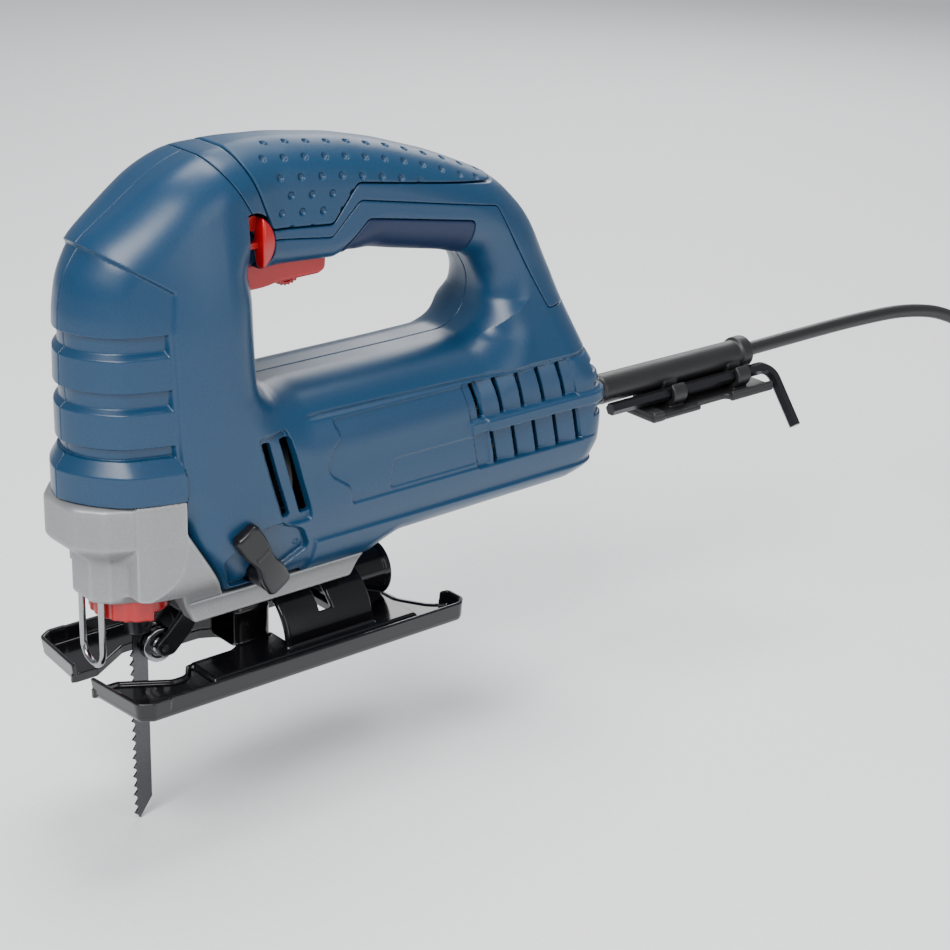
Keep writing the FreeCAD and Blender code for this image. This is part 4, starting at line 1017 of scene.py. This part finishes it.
# ------------------------------------------------------------------ assembly
def looks():
    """One material for each slot of the record."""
    return {
        "blue_shell": material("BlueMouldedPlastic", (0.0035, 0.036, 0.088), 0.34, coat=0.12, coat_rough=0.3,
                               speckle=(0.16, 1500), bump=(0.03, 2200), spec=0.42),
        "blue_grip": material("BlueSoftGrip", (0.004, 0.038, 0.09), 0.4, speckle=(0.16, 1500),
                              bump=(0.03, 2200), spec=0.42),
        "dark_grip": material("DarkFingerGrip", (0.004, 0.014, 0.05), 0.5, bump=(0.03, 2000), spec=0.35),
        # the cast grey carries painted shade in its creases and a painted highlight on its sharp edges
        "cast_grey": material("CastGearHousing", (0.27, 0.275, 0.28), 0.46, metal=0.5, speckle=(0.1, 1500),
                              bump=(0.06, 1400), painted_crease_shade=0.3),
        "red_plastic": material("RedPlastic", (0.36, 0.002, 0.004), 0.3, coat=0.15, coat_rough=0.15,
                                bump=(0.01, 2400)),
        # the black enamel carries painted shade in its creases and a painted highlight on its sharp edges
        "black_enamel": material("BlackEnamel", (0.004, 0.004, 0.005), 0.16, coat=0.3, coat_rough=0.06,
                                 bump=(0.015, 500), painted_crease_shade=0.3, spec=0.32, smudge=0.05),
        "black_plastic": material("BlackPlastic", (0.006, 0.006, 0.007), 0.3, bump=(0.02, 2000), spec=0.4),
        "cord_rubber": material("CordRubber", (0.009, 0.009, 0.01), 0.45, bump=(0.03, 1800), smudge=0.1),
        "bright_steel": material("BrightSteel", (0.3, 0.3, 0.31), 0.2, metal=1.0, bump=(0.01, 900),
                                 smudge=0.1),
        "black_steel": material("BlackSteel", (0.045, 0.046, 0.05), 0.3, metal=0.9, bump=(0.01, 900)),
        "blade_steel": material("BladeSteel", (0.085, 0.085, 0.09), 0.22, metal=1.0, speckle=(0.12, 1400),
                                bump=(0.01, 1200), smudge=0.12),
        "bronze": material("Bronze", (0.45, 0.27, 0.12), 0.35, metal=1.0, bump=(0.01, 900)),
        "alloy": material("Alloy", (0.5, 0.51, 0.53), 0.4, metal=0.9, bump=(0.03, 1200)),
        "lamination": material("LaminatedIron", (0.2, 0.2, 0.21), 0.5, metal=0.8, bump=(0.04, 1600)),
        "copper": material("CopperWinding", (0.55, 0.22, 0.09), 0.35, metal=1.0, bump=(0.05, 1300)),
        "carbon": material("Carbon", (0.03, 0.03, 0.032), 0.6, bump=(0.04, 2000)),
    }


def dress_cad(skins):
    """The CAD pieces that stay in view take the materials of their slots."""
    for part in frame["record"]["subparts"]:
        node = bpy.data.objects.get(part["node"])
        if node is None or node.hide_render:
            continue
        node.data.materials.clear()
        node.data.materials.append(skins[part["material_slot"]])


def build():
    skins = looks()
    housing(skins["blue_shell"], skins["blue_grip"], skins["dark_grip"])
    # name, shape, low corner, high corner, voxel, body, slot, CAD nodes
    carved = (
        ("gear_case", gear_form, (-34, -32, 23), (93, 32, 80), 0.6, "housing", "cast_grey",
         ("gear_housing",)),
        ("foot_plate", foot_form, (-27, -40, -0.5), (133, 40, 28), 0.5, "foot", "black_enamel",
         ("base_plate", "foot_saddle")),
        ("dust_spout", port_form, (90, -23, 2), (113, 23, 27), 0.45, "foot", "black_enamel", ("dust_port",)),
        ("cord_sleeve", boot_form, (203, -18, 49), (328, 9, 74), 0.45, "housing", "cord_rubber",
         ("cord_boot",)),
        ("trigger_rocker", trigger_form, (40, -12, 139), (81, 12, 168), 0.35, "trigger", "red_plastic",
         ("trigger",)),
        ("thumb_wheel", wheel_form, (58, -4, 141), (76, 4, 159), 0.25, "speed_wheel", "red_plastic",
         ("speed_wheel",)),
        ("lock_pad", button_form, (35, -26, 153), (49, -9, 179), 0.3, "lock_button", "red_plastic",
         ("lock_button",)),
        ("orbit_lever", lever_form, (15, -39, 30), (50, -16, 72), 0.35, "lever", "black_plastic",
         ("orbital_lever",)),
        ("blade_release", collar_form, (-19, -19, 28), (13, 19, 41), 0.35, "collar", "red_plastic",
         ("release_collar",)),
        ("clamp_sleeve", clamp_form, (-9, -9, 17), (9, 9, 43), 0.3, "stroke", "black_steel",
         ("blade_clamp",)),
        ("guide_fork", fork_form, (2, -13, 5), (30, 13, 37), 0.35, "fork", "black_steel", ("roller_fork",)),
        ("grooved_roller", roller_form, (0, -4, 3), (15, 4, 18), 0.25, "roller", "bright_steel",
         ("guide_roller",)),
        ("toothed_blade", blade_form(), (-6, -1.5, -63), (5, 1.5, 30), 0.16, "blade", "blade_steel",
         ("saw_blade",)),
    )
    for name, shape, low, high, voxel, body, slot, nodes in carved:
        carve(name, shape, low, high, voxel, body, skins[slot], slot, nodes, most=60000)
    cord(skins["cord_rubber"], skins["bright_steel"])
    dress_cad(skins)


camera()
studio()
build()
